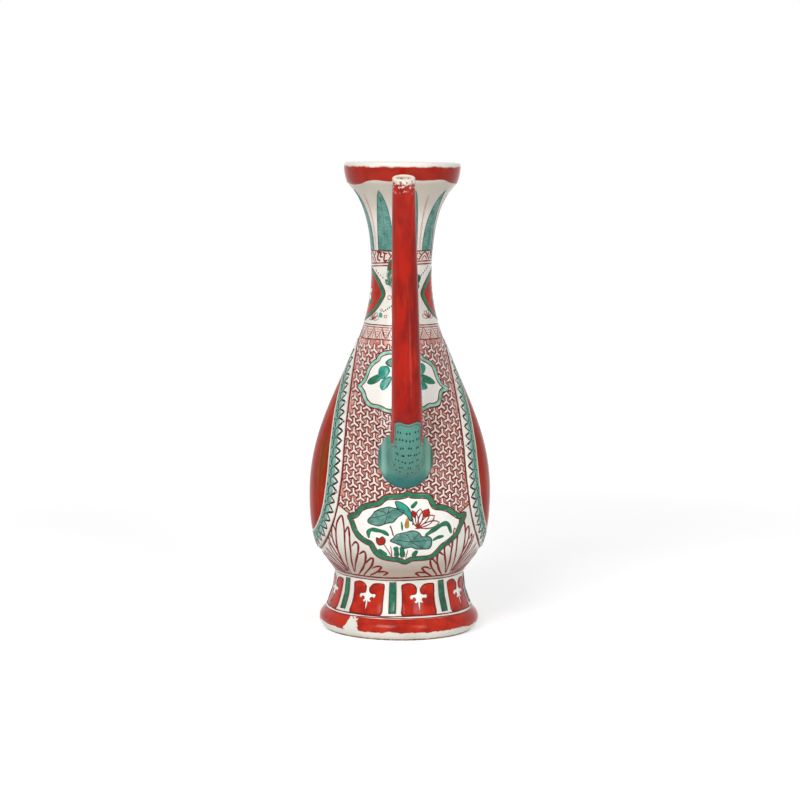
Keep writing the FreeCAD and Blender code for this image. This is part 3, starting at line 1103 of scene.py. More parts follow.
def makeHandle(material, ring=48):
    c = handleShape
    path = handlePath()
    count = len(path)
    widths = np.interp(np.linspace(0, 2, count), (0, 1, 2), c["widths"])
    turns = circle(ring)
    # a flat section with round edges, a little crowned on its faces
    wide = np.copysign(np.abs(np.cos(turns)) ** c["edgeRound"], np.cos(turns)) / 2
    high = np.copysign(np.abs(np.sin(turns)) ** c["faceRound"], np.sin(turns)) * c["thickness"] / 2
    runs = np.concatenate([[0.0], np.cumsum(np.linalg.norm(np.diff(path, axis=0), axis=1))])
    points, across = [], []
    for i, (y, z) in enumerate(path):
        step = path[min(i + 1, count - 1)] - path[max(i - 1, 0)]
        dy, dz = step / np.linalg.norm(step)
        x = widths[i] * wide
        points.append(np.stack([x, y - dz * high, z + dy * high], axis=1))
        across.append(x)
    # its ends stop inside the wall
    points = np.concatenate(points + [[(0.0, *path[0]), (0.0, *path[-1])]])
    reach = np.hypot(points[:, 0], points[:, 1])
    points[:, :2] *= np.maximum(1.0, (wallRadius(points[:, 2]) - c["rooted"]) / reach)[:, None]
    faces = gridFaces(count, ring)
    last = (count - 1) * ring
    for j in range(ring):
        after = (j + 1) % ring
        faces.append((after, j, count * ring))
        faces.append((last + j, last + after, count * ring + 1))
    piece = makeMesh("handleStrap", points, flipped(faces))
    addValue(piece, "across", np.concatenate(across + [[0.0, 0.0]]))
    addValue(piece, "along", np.concatenate([np.repeat(runs, ring), [0.0, runs[-1]]]))
    sharpen(piece, 60)
    return finish(piece, "handle_strap", material)


terminalShape = {
    "rise": 19.5,             # its upper lobes, above the belly seam
    "lobe": 7.0,
    "lobeAt": 6.6,
    "tip": 5.6,
    "tipDrop": 9.5,
    "height": 4.4,
    "softEdge": 4.6,
    "rimDepth": 0.3,
    "underDepth": 0.6,
    "grain": 0.9,
    "darkRim": (1.6, 0.5),
}


def makeTerminal(material):
    c = terminalShape
    z = bellyZ + c["rise"]
    side, drop, lobe = c["lobeAt"], c["tipDrop"], c["lobe"]
    circles = [(-side, 0, lobe), (side, 0, lobe), (0, -drop, c["tip"]), (0, -drop / 2, lobe)]
    outline = roundOutline(circles, np.array((0.0, -drop * 0.3)), 110)
    flat, faces, distance = filled(outline, c["grain"])
    share = np.clip(distance / c["softEdge"], 0, 1)
    lift = (c["height"] + c["rimDepth"]) * np.sqrt(share * (2 - share)) - c["rimDepth"]
    theta = math.pi - np.arcsin(np.clip(flat[:, 0] / wallRadius(z), -1, 1))
    top, bottom = (onWall(theta, z + flat[:, 1], rise) for rise in (lift, -c["underDepth"]))
    points, faces = closedShell(top, bottom, faces, len(outline))
    piece = makeMesh("handleTerminal", points, flipped(faces))
    addValue(piece, "rimDistance", np.concatenate([distance, distance[len(outline):]]))
    return finish(piece, "handle_terminal", material)


bossBands = {
    "cloth": srgb(88, 146, 132),
    "clothDeep": srgb(64, 122, 110),
    "teal": srgb(14, 98, 96),
    "pale": srgb(164, 204, 188),
    "lowTeal": (111, 103),
    "leftTeal": (-9.5, -14.5),
    "leftFrom": (108, 120),
    "rightGreen": (12.0, 15.5),
    # the last three pairs place a painted highlight down both upper sides
    "sheenIn": (11.0, 14.0),
    "sheenOut": (16.0, 14.6),
    "sheenFrom": (104, 112),
}


def bossEnamel():
    c = bossBands
    paint = Paint("bossEnamel")
    x, y, z = paint.axes()
    bottom = (z + (paint.noise(6) - 0.5) * 6).rise(*c["lowTeal"])
    left = (x + (paint.noise(5, shift=(3, 3, 3)) - 0.5) * 5).rise(*c["leftTeal"]) * z.rise(*c["leftFrom"])
    colour = paint.mix(paint.blotch(**glaze["clothMottle"]) * 0.5, c["cloth"], c["clothDeep"])
    colour = paint.mix((bottom * 0.9).most(left * 0.85), colour, c["teal"])
    colour = paint.mix(x.rise(*c["rightGreen"]) * 0.9, colour, glaze["greenDeep"])
    # painted highlight: a pale band down both sides of the swelling's upper half, where its rounded edge would
    # catch the lamps
    side = x.size().rise(*c["sheenIn"]) * x.size().rise(*c["sheenOut"]) * z.rise(*c["sheenFrom"])
    return paint.shade(paint.mix(side * 0.5, colour, c["pale"]), depth=0.2, coat=0.1)


bibShape = {
    "halfAngle": 58.5,        # of the turquoise cloth on the spout's front
    "topRun": 43.8,           # its top, along the spout from the root
    "stepRun": 31.0,          # below here it goes all round
    "humps": (6.0, 9.5),      # its top edge rises and falls to the sides
    "wornRun": 4.4,           # bare and chipped stretch at the tip
    "red": srgb(172, 28, 10),
    "redDeep": srgb(130, 16, 10),
    "redStreak": srgb(188, 48, 18),
    "smear": srgb(120, 70, 48),
    "lip": srgb(226, 212, 190),
    "cloth": srgb(92, 150, 136),
    "clothDeep": srgb(66, 124, 112),
    "pools": dict(
        grain=11, detail=3, roughness=0.55, shift=(2, 7, 1), stretch=(1, 1, 0.5), low=0.32, high=0.68
    ),
    "streaks": dict(grain=4, roughness=0.55, shift=(5, 5, 5), stretch=(1.3, 1.3, 0.1), low=0.52, high=0.78),
    "chips": dict(grain=1.6, roughness=0.6, shift=(3, 3, 8), low=0.52, high=0.6),
    "smears": dict(grain=2.4, shift=(6, 6, 1), low=0.4),
}


def spoutEnamel():
    c = bibShape
    paint = Paint("spoutEnamel")
    along, side, front = (paint.value(name) for name in ("along", "aroundSide", "aroundFront"))
    beyond = along - spoutRun[-1]
    colour = paint.mix(paint.blotch(**c["pools"]), c["redDeep"], c["red"])
    colour = paint.mix(paint.blotch(**c["streaks"]) * 0.6, colour, c["redStreak"])
    worn = paint.noise(3.2, 3, 0.7, (1, 9, 4), (1, 1, 0.35))
    bare = (beyond + c["wornRun"] * worn * 1.7).rise(0.0, 1.2)
    chips = paint.blotch(**c["chips"]) * beyond.rise(-11, -3)
    smear = paint.mix(paint.blotch(**c["smears"]), glaze["body"], c["smear"])
    colour = paint.mix(bare.most(chips * 0.9), colour, smear)
    colour = paint.mix(beyond.rise(-0.9, 0.1), colour, c["lip"])
    angle = math.sin(math.radians(c["halfAngle"]))
    inside = (side.size() * -1 + angle).rise(-0.04, 0.04) * front.rise(0.0, 0.1)
    square = side * side
    humps = square * c["humps"][0] - square * square * c["humps"][1]
    bib = inside * (along - c["topRun"] - humps).rise(0.35, -0.35)
    bib = bib.most((along - c["stepRun"]).rise(0.4, -0.4))
    turquoise = paint.mix(paint.blotch(**glaze["clothMottle"]) * 0.5, c["cloth"], c["clothDeep"])
    return paint.shade(paint.mix(bib, colour, turquoise), glaze["redShine"], 0.16)


def strutEnamel():
    c = strutShape
    paint = Paint("strutEnamel")
    x, y, z = paint.axes()
    reach = paint.length(x - c["sway"], (z - shoulderZ - c["rise"]) * 1.1)
    green = greenColour(paint, glaze["green"], glaze["greenDeep"], 5.0)
    return paint.shade(paint.mix(reach.rise(*c["redFrom"]), green, redColour(paint)))


def handleEnamel():
    c = handleShape
    paint = Paint("handleEnamel")
    across = paint.value("across").size() + (paint.noise(8) - 0.5) * 0.8
    border = across.rise(*c["borderFrom"]) * across.rise(*c["borderTo"])
    colour = paint.mix(border, redColour(paint, (7, 7, 7)), glazeColour(paint))
    green = greenColour(paint, glaze["turquoise"], glaze["green"])
    return paint.shade(paint.mix(across.rise(*c["greenFrom"]), colour, green), glaze["redShine"])


def leafEnamel():
    paint = Paint("terminalEnamel")
    colour = greenColour(paint, glaze["turquoise"], glaze["turquoiseDeep"], 5.0)
    rim = paint.value("rimDistance").rise(*terminalShape["darkRim"])
    return paint.shade(paint.mix(rim, colour, glaze["greenDeep"]))


makeSpout(spoutEnamel())
makeBoss(bossEnamel())
makeStrut(strutEnamel())
makeHandle(handleEnamel())
makeTerminal(leafEnamel())
print("spout, strut and handle made")


# places on the wall read off the photograph, in pixels of its 800 by 800 frame

def fromPhoto(pixels):
    # where the camera's ray through each pixel first meets the wall: angle and height
    c = photoCamera
    turn = np.array(camera.matrix_world.to_3x3())
    eye = np.array(camera.matrix_world.translation) / mm
    steps = c["distance"] + np.arange(-90.0, 30.0, 0.2)
    found = []
    for px, py in pixels:
        ray = turn @ np.array(((px - c["frame"] / 2) / c["focal"], (c["frame"] / 2 - py) / c["focal"], -1.0))
        places = eye + steps[:, None] * ray / np.linalg.norm(ray)
        depth = wallRadius(places[:, 2]) - np.hypot(places[:, 0], places[:, 1])
        inside = np.flatnonzero(depth > 0)
        place = places[inside[0]] if len(inside) else places[np.argmax(depth)]
        found.append((math.atan2(place[0], -place[1]), place[2]))
    return np.array(found)


def eased(points, closed=False, steps=3):
    # a smooth line through given points
    points = np.asarray(points, float)
    count = len(points)
    line = []
    for i in range(count if closed else count - 1):
        near = [i + k for k in (-1, 0, 1, 2)]
        a, b, c, d = points[[j % count if closed else min(max(j, 0), count - 1) for j in near]]
        second, third = 2 * a - 5 * b + 4 * c - d, 3 * b - a - 3 * c + d
        for t in np.arange(steps) / steps:
            line.append(0.5 * (2 * b + (c - a) * t + second * t**2 + third * t**3))
    return np.array(line if closed else line + [points[-1]])


def drawn(pixels, closed=False):
    return eased(fromPhoto(pixels), closed, 3 if closed else 4)


def nearby(centre, radius, angle, tall=None):
    # a place on the wall at a distance and an angle from another one
    across = radius * np.cos(angle) / wallRadius(centre[1])
    return np.asarray(centre) + pairs(across, (tall or radius) * np.sin(angle))


brush = {
    "endShare": 0.18,         # of a stroke's length, over which it runs out to its ends
    "endPower": 0.6,
    "wobble": 0.12,
    "wobbleStep": 0.9,
    "shoulder": (0.72, 0.8),  # where its section bends, as shares of its half width and its lift
    "depth": 0.05,            # how far strokes and patches reach into the glaze
    "patchDepth": 0.08,
}


class Enamel:
    # gathers brush strokes and filled patches of one colour, then makes them one piece
    def __init__(self, name="", material=None, slot=""):
        self.name = name
        self.material = material
        self.slot = slot
        self.points = []
        self.faces = []
        self.rims = []

    def take(self, points, faces, rims):
        start = sum(len(p) for p in self.points)
        self.points.append(np.asarray(points))
        self.rims.append(np.asarray(rims, float))
        self.faces.extend(tuple(start + i for i in f) for f in faces)

    def stroke(self, line, width, lift=0.07, closed=False, taper=0.35, surface=onWall):
        # a raised line of enamel along (angle, height) rows, thin at its ends unless closed
        line = np.asarray(line, float)
        count = len(line)
        place = surface(line[:, 0], line[:, 1], 0.0)
        normal = surface(line[:, 0], line[:, 1], 1.0) - place
        ahead = np.roll(place, -1, axis=0) - np.roll(place, 1, axis=0) if closed else np.gradient(place, axis=0)
        side = np.cross(normal, ahead)
        side /= np.maximum(np.linalg.norm(side, axis=1), 1e-9)[:, None]
        share = np.linspace(0, 1, count)
        ends = np.clip(np.minimum(share, 1 - share) / brush["endShare"], 0, 1) ** brush["endPower"]
        wobble = 1 + brush["wobble"] * np.sin(share * count * brush["wobbleStep"] + len(self.points))
        half = (width * (taper + (1 - taper) * (1.0 if closed else ends)) * wobble / 2)[:, None]
        (bend, low), edge = brush["shoulder"], -brush["depth"]
        section = ((1.0, edge), (bend, lift * low), (0.0, lift), (-bend, lift * low), (-1.0, edge))
        rings = np.stack([place + side * half * x + normal * h for x, h in section], axis=1)
        faces = gridFaces(count, len(section), wrapRows=closed)
        faces += [] if closed else endFaces(count, len(section))
        self.take(rings.reshape(-1, 3), faces, np.tile([0.0, 0.3, 1.0, 0.3, 0.0], count))

    def patch(self, outline, lift=0.1, grain=1.6, soft=0.6):
        # a filled shape with a rounded edge; outline holds (angle, height) rows
        outline = counterClockwise(np.asarray(outline, float))
        scale = np.array((wallRadius(outline[:, 1].mean()), 1.0))
        flat, faces, distance = filled(outline * scale, grain)
        share = np.clip(distance / soft, 0, 1)
        rise = lift * (0.8 + 0.2 * np.sqrt(share * (2 - share)))
        top, bottom = (onWall(*(flat / scale).T, height) for height in (rise, -brush["patchDepth"]))
        points, faces = standingShell(top, bottom, faces, len(outline))
        self.take(points, faces, np.tile(distance, 2))

    def dot(self, place, radius, lift=0.08, stretch=1.0):
        rows = nearby(place, radius, circle(8), radius * stretch)
        rim = onWall(*rows.T, -brush["depth"])
        inner = onWall(*(place + (rows - place) * 0.7).T, lift * 0.8)
        points = np.concatenate([rim, inner, [onWall(*place, lift)]])
        faces = gridFaces(2, 8) + [(8 + j, 8 + (j + 1) % 8, 16) for j in range(8)]
        faces.append(tuple(range(8))[::-1])
        self.take(points, faces, np.repeat([0.0, 0.5, 1.0], [8, 8, 1]))

    def make(self):
        piece = makeMesh(self.name, np.concatenate(self.points), self.faces)
        addValue(piece, "rimDistance", np.concatenate(self.rims))
        return finish(piece, None, self.material)


def lineEnamel(name, tone, second):
    paint = Paint(name)
    uneven = paint.blotch(2.4, high=0.75, roughness=0.6, shift=(4, 8, 2))
    return paint.shade(paint.mix(uneven * 0.6, tone, second), 0.2, None, glaze["enamelRoughness"] + 0.06)


def pooledEnamel(name, light, deep):
    paint = Paint(name)
    colour = greenColour(paint, light, deep, 5.0)
    rim = paint.value("rimDistance").rise(0.5, 0.05)
    return paint.shade(paint.mix(rim * 0.5, colour, deep))


def whiteReserve():
    paint = Paint("whiteReserve")
    # painted light: the reserves are mixed halfway to plain white, whiter than the body's glaze, to lift the
    # shade on the cartouches
    return paint.shade(paint.mix(0.5, glazeColour(paint), srgb(250, 249, 244)), 0.3, 0.0, 0.3)


# each piece of enamel with its material, its slot and the two tones that mix in it

lineTones = {
    "darkRedLines": ("darkRedLine", "iron_red", glaze["line"], srgb(128, 28, 28)),
    "redLines": ("redLine", "iron_red", srgb(118, 20, 22), srgb(148, 38, 34)),
    "paleRedLines": ("paleRedLine", "iron_red", srgb(176, 74, 62), srgb(206, 132, 114)),
    "blackLines": ("blackLine", "glazed_body", glaze["black"], srgb(70, 50, 48)),
    "ochrePatches": ("ochreEnamel", "glazed_body", srgb(186, 140, 62), srgb(140, 96, 44)),
    "tealLines": ("tealLine", "green_enamel", srgb(44, 96, 88), srgb(70, 128, 116)),
    "starWhite": ("starWhite", "glazed_body", srgb(246, 234, 224), srgb(236, 208, 196)),
}
pooledTones = {
    "greenPatches": ("pooledGreen", "green_enamel", glaze["green"], glaze["greenDeep"]),
    "paleGreenPatches": ("palePooledGreen", "green_enamel", srgb(160, 212, 194), srgb(84, 170, 142)),
    "blueGreenPatches": ("blueGreen", "green_enamel", srgb(108, 158, 146), srgb(56, 116, 104)),
    "tealPatches": ("tealEnamel", "green_enamel", srgb(44, 162, 140), srgb(10, 118, 108)),
    "barGreen": ("barGreen", "green_enamel", srgb(26, 116, 86), srgb(14, 82, 60)),
    "scaleGreen": ("scaleGreen", "green_enamel", srgb(140, 184, 168), srgb(92, 150, 134)),
}


def gatherers(tones, dress):
    return [Enamel(name, dress(material, *colours), slot) for name, (material, slot, *colours) in tones.items()]


darkLine, redLine, paleLine, blackLine, ochreFill, tealLine, starWhite = gatherers(lineTones, lineEnamel)
greenFill, paleGreen, blueGreen, tealFill, barGreen, scaleGreen = gatherers(pooledTones, pooledEnamel)
reserve = Enamel("whiteReserves", whiteReserve(), "glazed_body")
redFill = Enamel("redPatches", redEnamel(), "iron_red")
enamels = (darkLine, redLine, paleLine, blackLine, reserve, redFill)
enamels += (greenFill, paleGreen, blueGreen, tealFill, ochreFill)

sides = (0.0, math.pi)        # the spout's side, and the handle's, which repeats it


def turned(rows, turn):
    return np.asarray(rows) + (turn, 0.0)


def ring(enamel, z, width, lift=0.07, waver=0.25, seed=0):
    turn = circle(150)
    height = z + waver * (np.sin(3 * turn + seed) + 0.6 * np.sin(7 * turn + 2 * seed))
    enamel.stroke(pairs(turn, height), width, lift, closed=True)


# cartouches and what is painted in them; pixels of the photograph, read off it

lowerCartouche = [
    (350.0, 516.4), (355.3, 515.2), (358.2, 512.0), (361.2, 508.5), (366.6, 506.0), (374.5, 504.5),
    (380.0, 502.6), (383.4, 499.1), (388.4, 497.1), (398.2, 496.6), (404.2, 495.7), (407.6, 494.0),
    (412.1, 495.4), (420.0, 495.7), (426.9, 496.1), (430.4, 498.6), (432.3, 503.1), (434.8, 506.5),
    (441.7, 507.5), (448.6, 509.5), (454.1, 513.4), (459.5, 516.2), (464.6, 514.2), (462.0, 520.8),
    (459.5, 526.8), (457.0, 532.7), (453.1, 537.6), (447.6, 542.1), (442.2, 546.0), (438.8, 549.5),
    (434.8, 554.0), (428.9, 557.4), (420.0, 558.4), (411.1, 559.2), (404.7, 562.2), (399.2, 559.9),
    (390.3, 558.9), (382.4, 556.9), (377.0, 553.5), (373.5, 548.5), (370.6, 543.6), (364.6, 540.6),
    (358.7, 535.7), (354.8, 529.7), (352.8, 523.8), (350.8, 518.6),
]
upperCartouche = [
    (359.2, 386.9), (361.7, 383.9), (364.7, 380.5), (366.9, 375.3), (368.6, 370.1), (371.2, 365.8),
    (374.2, 362.4), (378.1, 359.8), (379.8, 356.4), (383.2, 353.8), (387.5, 352.5), (395.0, 351.6),
    (403.0, 348.4), (411.0, 351.8), (417.5, 353.0), (420.3, 355.5), (422.9, 358.9), (426.3, 360.7),
    (430.2, 363.3), (433.2, 366.7), (435.3, 371.9), (437.5, 377.9), (440.1, 383.1), (444.0, 386.9),
    (447.4, 388.7), (442.7, 390.2), (440.5, 393.4), (440.1, 398.6), (438.4, 402.9), (434.9, 405.0),
    (429.7, 405.5), (425.4, 408.0), (420.0, 409.8), (411.0, 411.6), (403.5, 414.4), (396.0, 412.4),
    (386.7, 410.8), (382.4, 408.9), (378.9, 407.2), (373.8, 406.3), (369.5, 404.6), (366.0, 400.3),
    (364.3, 396.0), (363.0, 391.7), (360.6, 388.4),
]
cartoucheBorder = {
    "lowerWidth": 3.3,
    "upperWidth": 2.5,
    "lift": 0.16,
    "ground": dict(lift=0.09, grain=1.8, soft=0.5),
    "edge": dict(width=1.05, lift=0.15, closed=True),
}


def offsetLine(line, distance):
    # the line moved sideways over the wall, to its left as seen from outside
    place = onWall(line[:, 0], line[:, 1])
    ahead = np.roll(place, -1, axis=0) - np.roll(place, 1, axis=0)
    side = np.cross(onWall(line[:, 0], line[:, 1], 1.0) - place, ahead)
    x, y, z = (place + side / np.linalg.norm(side, axis=1)[:, None] * distance).T
    return pairs(np.arctan2(x, -y), z)


def cartouche(pixels, width, border):
    c = cartoucheBorder
    middle = eased(fromPhoto(pixels), True, 4)
    for turn in sides:
        line = turned(middle, turn)
        reserve.patch(line, **c["ground"])
        border.stroke(line, width, c["lift"], closed=True)
        for reach in (width / 2, -width / 2):
            darkLine.stroke(turned(offsetLine(middle, reach), turn), **c["edge"])


cartouche(lowerCartouche, cartoucheBorder["lowerWidth"], greenFill)
cartouche(upperCartouche, cartoucheBorder["upperWidth"], paleGreen)

lotusPond = {
    "sideLeaf": [
        (368.1, 522.3), (368.6, 518.9), (372.1, 515.4), (374.5, 512.0), (379.5, 509.0), (384.4, 508.0),
        (388.9, 506.8), (393.3, 508.0), (398.2, 509.0), (404.2, 511.0), (402.2, 514.4), (398.2, 516.9),
        (395.3, 519.9), (393.3, 522.3), (389.3, 522.8), (385.4, 523.8), (379.5, 525.8), (373.5, 524.8),
    ],
    "foldedLeaf": [
        (395.3, 501.6), (401.2, 502.4), (407.6, 507.0), (411.1, 512.9), (412.1, 519.9), (410.1, 520.9),
        (407.1, 515.9), (403.2, 512.9), (398.2, 510.0), (396.3, 505.5),
    ],
    "roundLeaf": [
        (390.3, 541.1), (393.3, 538.1), (396.3, 534.7), (401.2, 533.2), (406.1, 532.2), (413.1, 530.7),
        (419.0, 532.7), (422.0, 536.7), (427.9, 536.2), (431.3, 538.6), (431.3, 544.6), (428.9, 548.5),
        (422.0, 549.0), (416.0, 549.0), (411.1, 547.0), (404.2, 548.5), (401.2, 546.0), (396.3, 543.6),
    ],
    "bud": [
        (376.5, 537.6), (379.5, 538.6), (382.4, 536.7), (385.4, 539.6), (384.4, 543.6), (379.5, 545.1),
        (377.0, 542.6),
    ],
    "seedPod": [(407.6, 516.9), (409.1, 522.8), (408.6, 527.8), (405.2, 527.8), (404.7, 523.8)],
}
pondVeins = [
    [(387.4, 513.9), (380.5, 510.6), (373.6, 511.6)],
    [(387.4, 513.9), (388.6, 510.6), (389.0, 507.4)],
    [(387.4, 513.9), (392.6, 510.4), (399.0, 509.6)],
    [(387.4, 513.9), (379.0, 516.4), (370.0, 518.2)],
    [(387.4, 513.9), (386.2, 519.4), (384.4, 523.6)],
    [(411.1, 542.0), (408.0, 536.0), (403.2, 533.4)],
    [(411.1, 542.0), (416.4, 536.2), (419.8, 533.0)],
    [(411.1, 542.0), (421.0, 540.8), (430.9, 539.8)],
    [(411.1, 542.0), (403.0, 541.0), (393.0, 539.6)],
    [(411.1, 542.0), (418.4, 545.8), (424.0, 549.0)],
]
pondStems = [
    ([(390.0, 525.6), (391.8, 530.0), (393.4, 536.0)], 1.17),
    ([(383.4, 543.6), (387.4, 549.4), (391.6, 556.6)], 0.78),
    ([(390.4, 546.0), (391.6, 551.0), (391.9, 556.4)], 0.78),
    ([(407.8, 549.6), (406.8, 553.8), (405.4, 558.6)], 0.78),
]
pondBlades = [
    ([(425.0, 535.6), (431.0, 531.4), (438.0, 526.8), (444.0, 523.6), (448.4, 525.0), (450.9, 533.2)], 3.68),
    ([(432.4, 540.4), (437.6, 537.4), (443.8, 536.0)], 2.56),
    ([(369.0, 538.0), (368.4, 532.4), (371.4, 529.6), (377.0, 530.2), (383.6, 532.0), (389.0, 535.6)], 3.2),
    ([(411.0, 508.0), (414.4, 504.6), (417.0, 501.4)], 2.88),
    ([(377.6, 550.4), (382.0, 552.0), (386.6, 555.4)], 3.52),
    ([(395.4, 546.6), (396.4, 551.0), (396.6, 557.0)], 3.84),
    ([(401.4, 546.8), (402.2, 551.2), (402.6, 557.6)], 3.84),
    ([(417.2, 550.6), (415.0, 553.2), (412.6, 556.6)], 3.52),
    ([(401.4, 521.6), (402.0, 526.4), (402.2, 530.6)], 1.44),
    ([(409.8, 514.8), (412.6, 519.8), (412.8, 525.4)], 1.28),
]
lotusBase = (417.4, 527.6)
lotusPetals = [
    # tip, half width in mm, and whether its tip is filled with red; the last is drawn first
    ((412.4, 510.6), 2.2, True),
    ((420.4, 508.8), 2.4, False),
    ((428.6, 509.0), 2.9, True),
    ((434.4, 515.6), 2.6, False),
    ((439.4, 522.2), 2.2, False),
]
pondMarks = {
    "leaf": dict(lift=0.2, grain=1.3, soft=0.7),
    "leafEdge": dict(width=0.7, lift=0.26, closed=True),
    "vein": dict(width=0.55, lift=0.27),
    "stem": dict(lift=0.15),
    "blade": dict(lift=0.2, taper=0.3),
    "petal": dict(lift=0.12, grain=1.2, soft=0.3),
    "petalEdge": dict(width=1.0, lift=0.18, closed=True),
    "petalTip": dict(lift=0.17, grain=1.2, soft=0.4),
    "petalVein": dict(width=0.45, lift=0.18),
    "tipFrom": 0.55,          # where a petal's red tip starts
    "tipWidth": 0.75,
    "heart": dict(lift=0.18, grain=1.0, soft=0.4),
    "heartHalf": 0.9,
}


def petalOutline(base, tip, halfWidth, steps=9, fullest=0.62):
    # an almond between two places on the wall, widest towards its tip
    base, tip = np.asarray(base, float), np.asarray(tip, float)
    scale = np.array((wallRadius((base[1] + tip[1]) / 2), 1.0))
    run = (tip - base) * scale
    across = np.array((-run[1], run[0])) / np.linalg.norm(run)
    share = np.linspace(0, 1, steps)[:, None]
    bulge = halfWidth * np.where(
        share < fullest,
        np.sin(np.minimum(share / fullest, 1) * math.pi / 2) ** 0.9,
        np.cos(np.maximum((share - fullest) / (1 - fullest), 0) * math.pi / 2) ** 0.75,
    )
    left, right = (base * scale + share * run + side * bulge * across for side in (1, -1))
    return np.concatenate([right, left[-2:0:-1]]) / scale


def paintPond():
    c = pondMarks
    leaves = {name: drawn(pixels, closed=True) for name, pixels in lotusPond.items()}
    fills = {
        "sideLeaf": blueGreen,
        "foldedLeaf": tealFill,
        "roundLeaf": blueGreen,
        "bud": redFill,
        "seedPod": ochreFill,
    }
    base = fromPhoto([lotusBase])[0]
    for turn in sides:
        for name, enamel in fills.items():
            enamel.patch(turned(leaves[name], turn), **c["leaf"])
        for name in ("sideLeaf", "roundLeaf", "foldedLeaf", "bud"):
            blackLine.stroke(turned(leaves[name], turn), **c["leafEdge"])
        for pixels in pondVeins:
            blackLine.stroke(turned(drawn(pixels), turn), **c["vein"])
        for pixels, width in pondStems:
            redLine.stroke(turned(drawn(pixels), turn), width, **c["stem"])
        for pixels, width in pondBlades:
            greenFill.stroke(turned(drawn(pixels), turn), width, **c["blade"])
        for pixel, halfWidth, red in reversed(lotusPetals):
            tip = fromPhoto([pixel])[0]
            middle = base + (tip - base) * c["tipFrom"]
            outline = turned(petalOutline(base, tip, halfWidth), turn)
            reserve.patch(outline, **c["petal"])
            redLine.stroke(outline, **c["petalEdge"])
            if red:
                inner = petalOutline(middle, tip, halfWidth * c["tipWidth"])
                redFill.patch(turned(inner, turn), **c["petalTip"])
            redLine.stroke(turned([base, middle], turn), **c["petalVein"])
        heart = petalOutline(base + (-0.03, -0.6), base + (0.05, 0.4), c["heartHalf"])
        redFill.patch(turned(heart, turn), **c["heart"])


paintPond()

# leaf sprigs in the upper cartouche

sprigLeaves = [
    [
        (381.6, 368.4), (386.6, 368.0), (388.4, 371.0), (386.7, 374.5), (383.2, 377.2), (380.6, 376.4),
        (380.0, 372.0),
    ],
    [
        (379.4, 377.0), (378.0, 380.4), (373.0, 383.0), (369.6, 382.2), (370.4, 379.4), (374.0, 377.0),
        (377.4, 375.8),
    ],
    [
        (389.2, 378.3), (389.6, 381.4), (386.6, 386.4), (383.2, 388.2), (381.6, 385.6), (382.4, 382.2),
        (385.0, 379.6),
    ],
    [(386.8, 362.4), (391.0, 359.4), (394.0, 361.6), (392.2, 365.8), (388.6, 365.0)],
    [(421.2, 364.8), (424.4, 367.0), (424.0, 370.8), (421.6, 373.4), (419.4, 370.0)],
    [(421.8, 375.6), (426.4, 376.6), (430.6, 378.8), (432.8, 382.2), (428.0, 382.6), (424.4, 380.4)],
    [(420.6, 380.4), (424.6, 383.8), (425.8, 387.4), (422.0, 388.2), (419.2, 384.6)],
]
sprigMarks = {
    "stemPixels": [(389.0, 381.0), (397.0, 377.0), (406.0, 375.6), (414.0, 376.6), (421.0, 375.8)],
    "flowerPixel": (405.0, 371.0),
    "growth": 1.42,           # of the leaves, from their middles
    "leaf": dict(lift=0.2, grain=1.3, soft=0.9),
    "vein": dict(width=0.3, lift=0.26),
    "stem": dict(width=0.5, lift=0.15),
    "petals": 5,
    "petalReach": 4.4,
    "petalHalf": 1.4,
    "petal": dict(lift=0.16, grain=1.2, soft=0.5),
    "heart": dict(radius=0.9, lift=0.22),
}


def paintSprig():
    c = sprigMarks
    flower = fromPhoto([c["flowerPixel"]])[0]
    for turn in sides:
        for i, pixels in enumerate(sprigLeaves):
            leaf = drawn(pixels, closed=True)
            leaf = leaf.mean(axis=0) + (leaf - leaf.mean(axis=0)) * c["growth"]
            (greenFill if i % 2 else tealFill).patch(turned(leaf, turn), **c["leaf"])
            vein = np.stack([leaf[0], leaf.mean(axis=0), leaf[len(leaf) // 2]])
            blackLine.stroke(turned(vein, turn), **c["vein"])
        greenFill.stroke(turned(drawn(c["stemPixels"]), turn), **c["stem"])
        for angle in math.pi / 2 + circle(c["petals"]):
            petal = petalOutline(flower, nearby(flower, c["petalReach"], angle), c["petalHalf"])
            redFill.patch(turned(petal, turn), **c["petal"])
        ochreFill.dot(turned(flower, turn), **c["heart"])


paintSprig()
print("cartouches painted")


# geometry node trees for what repeats

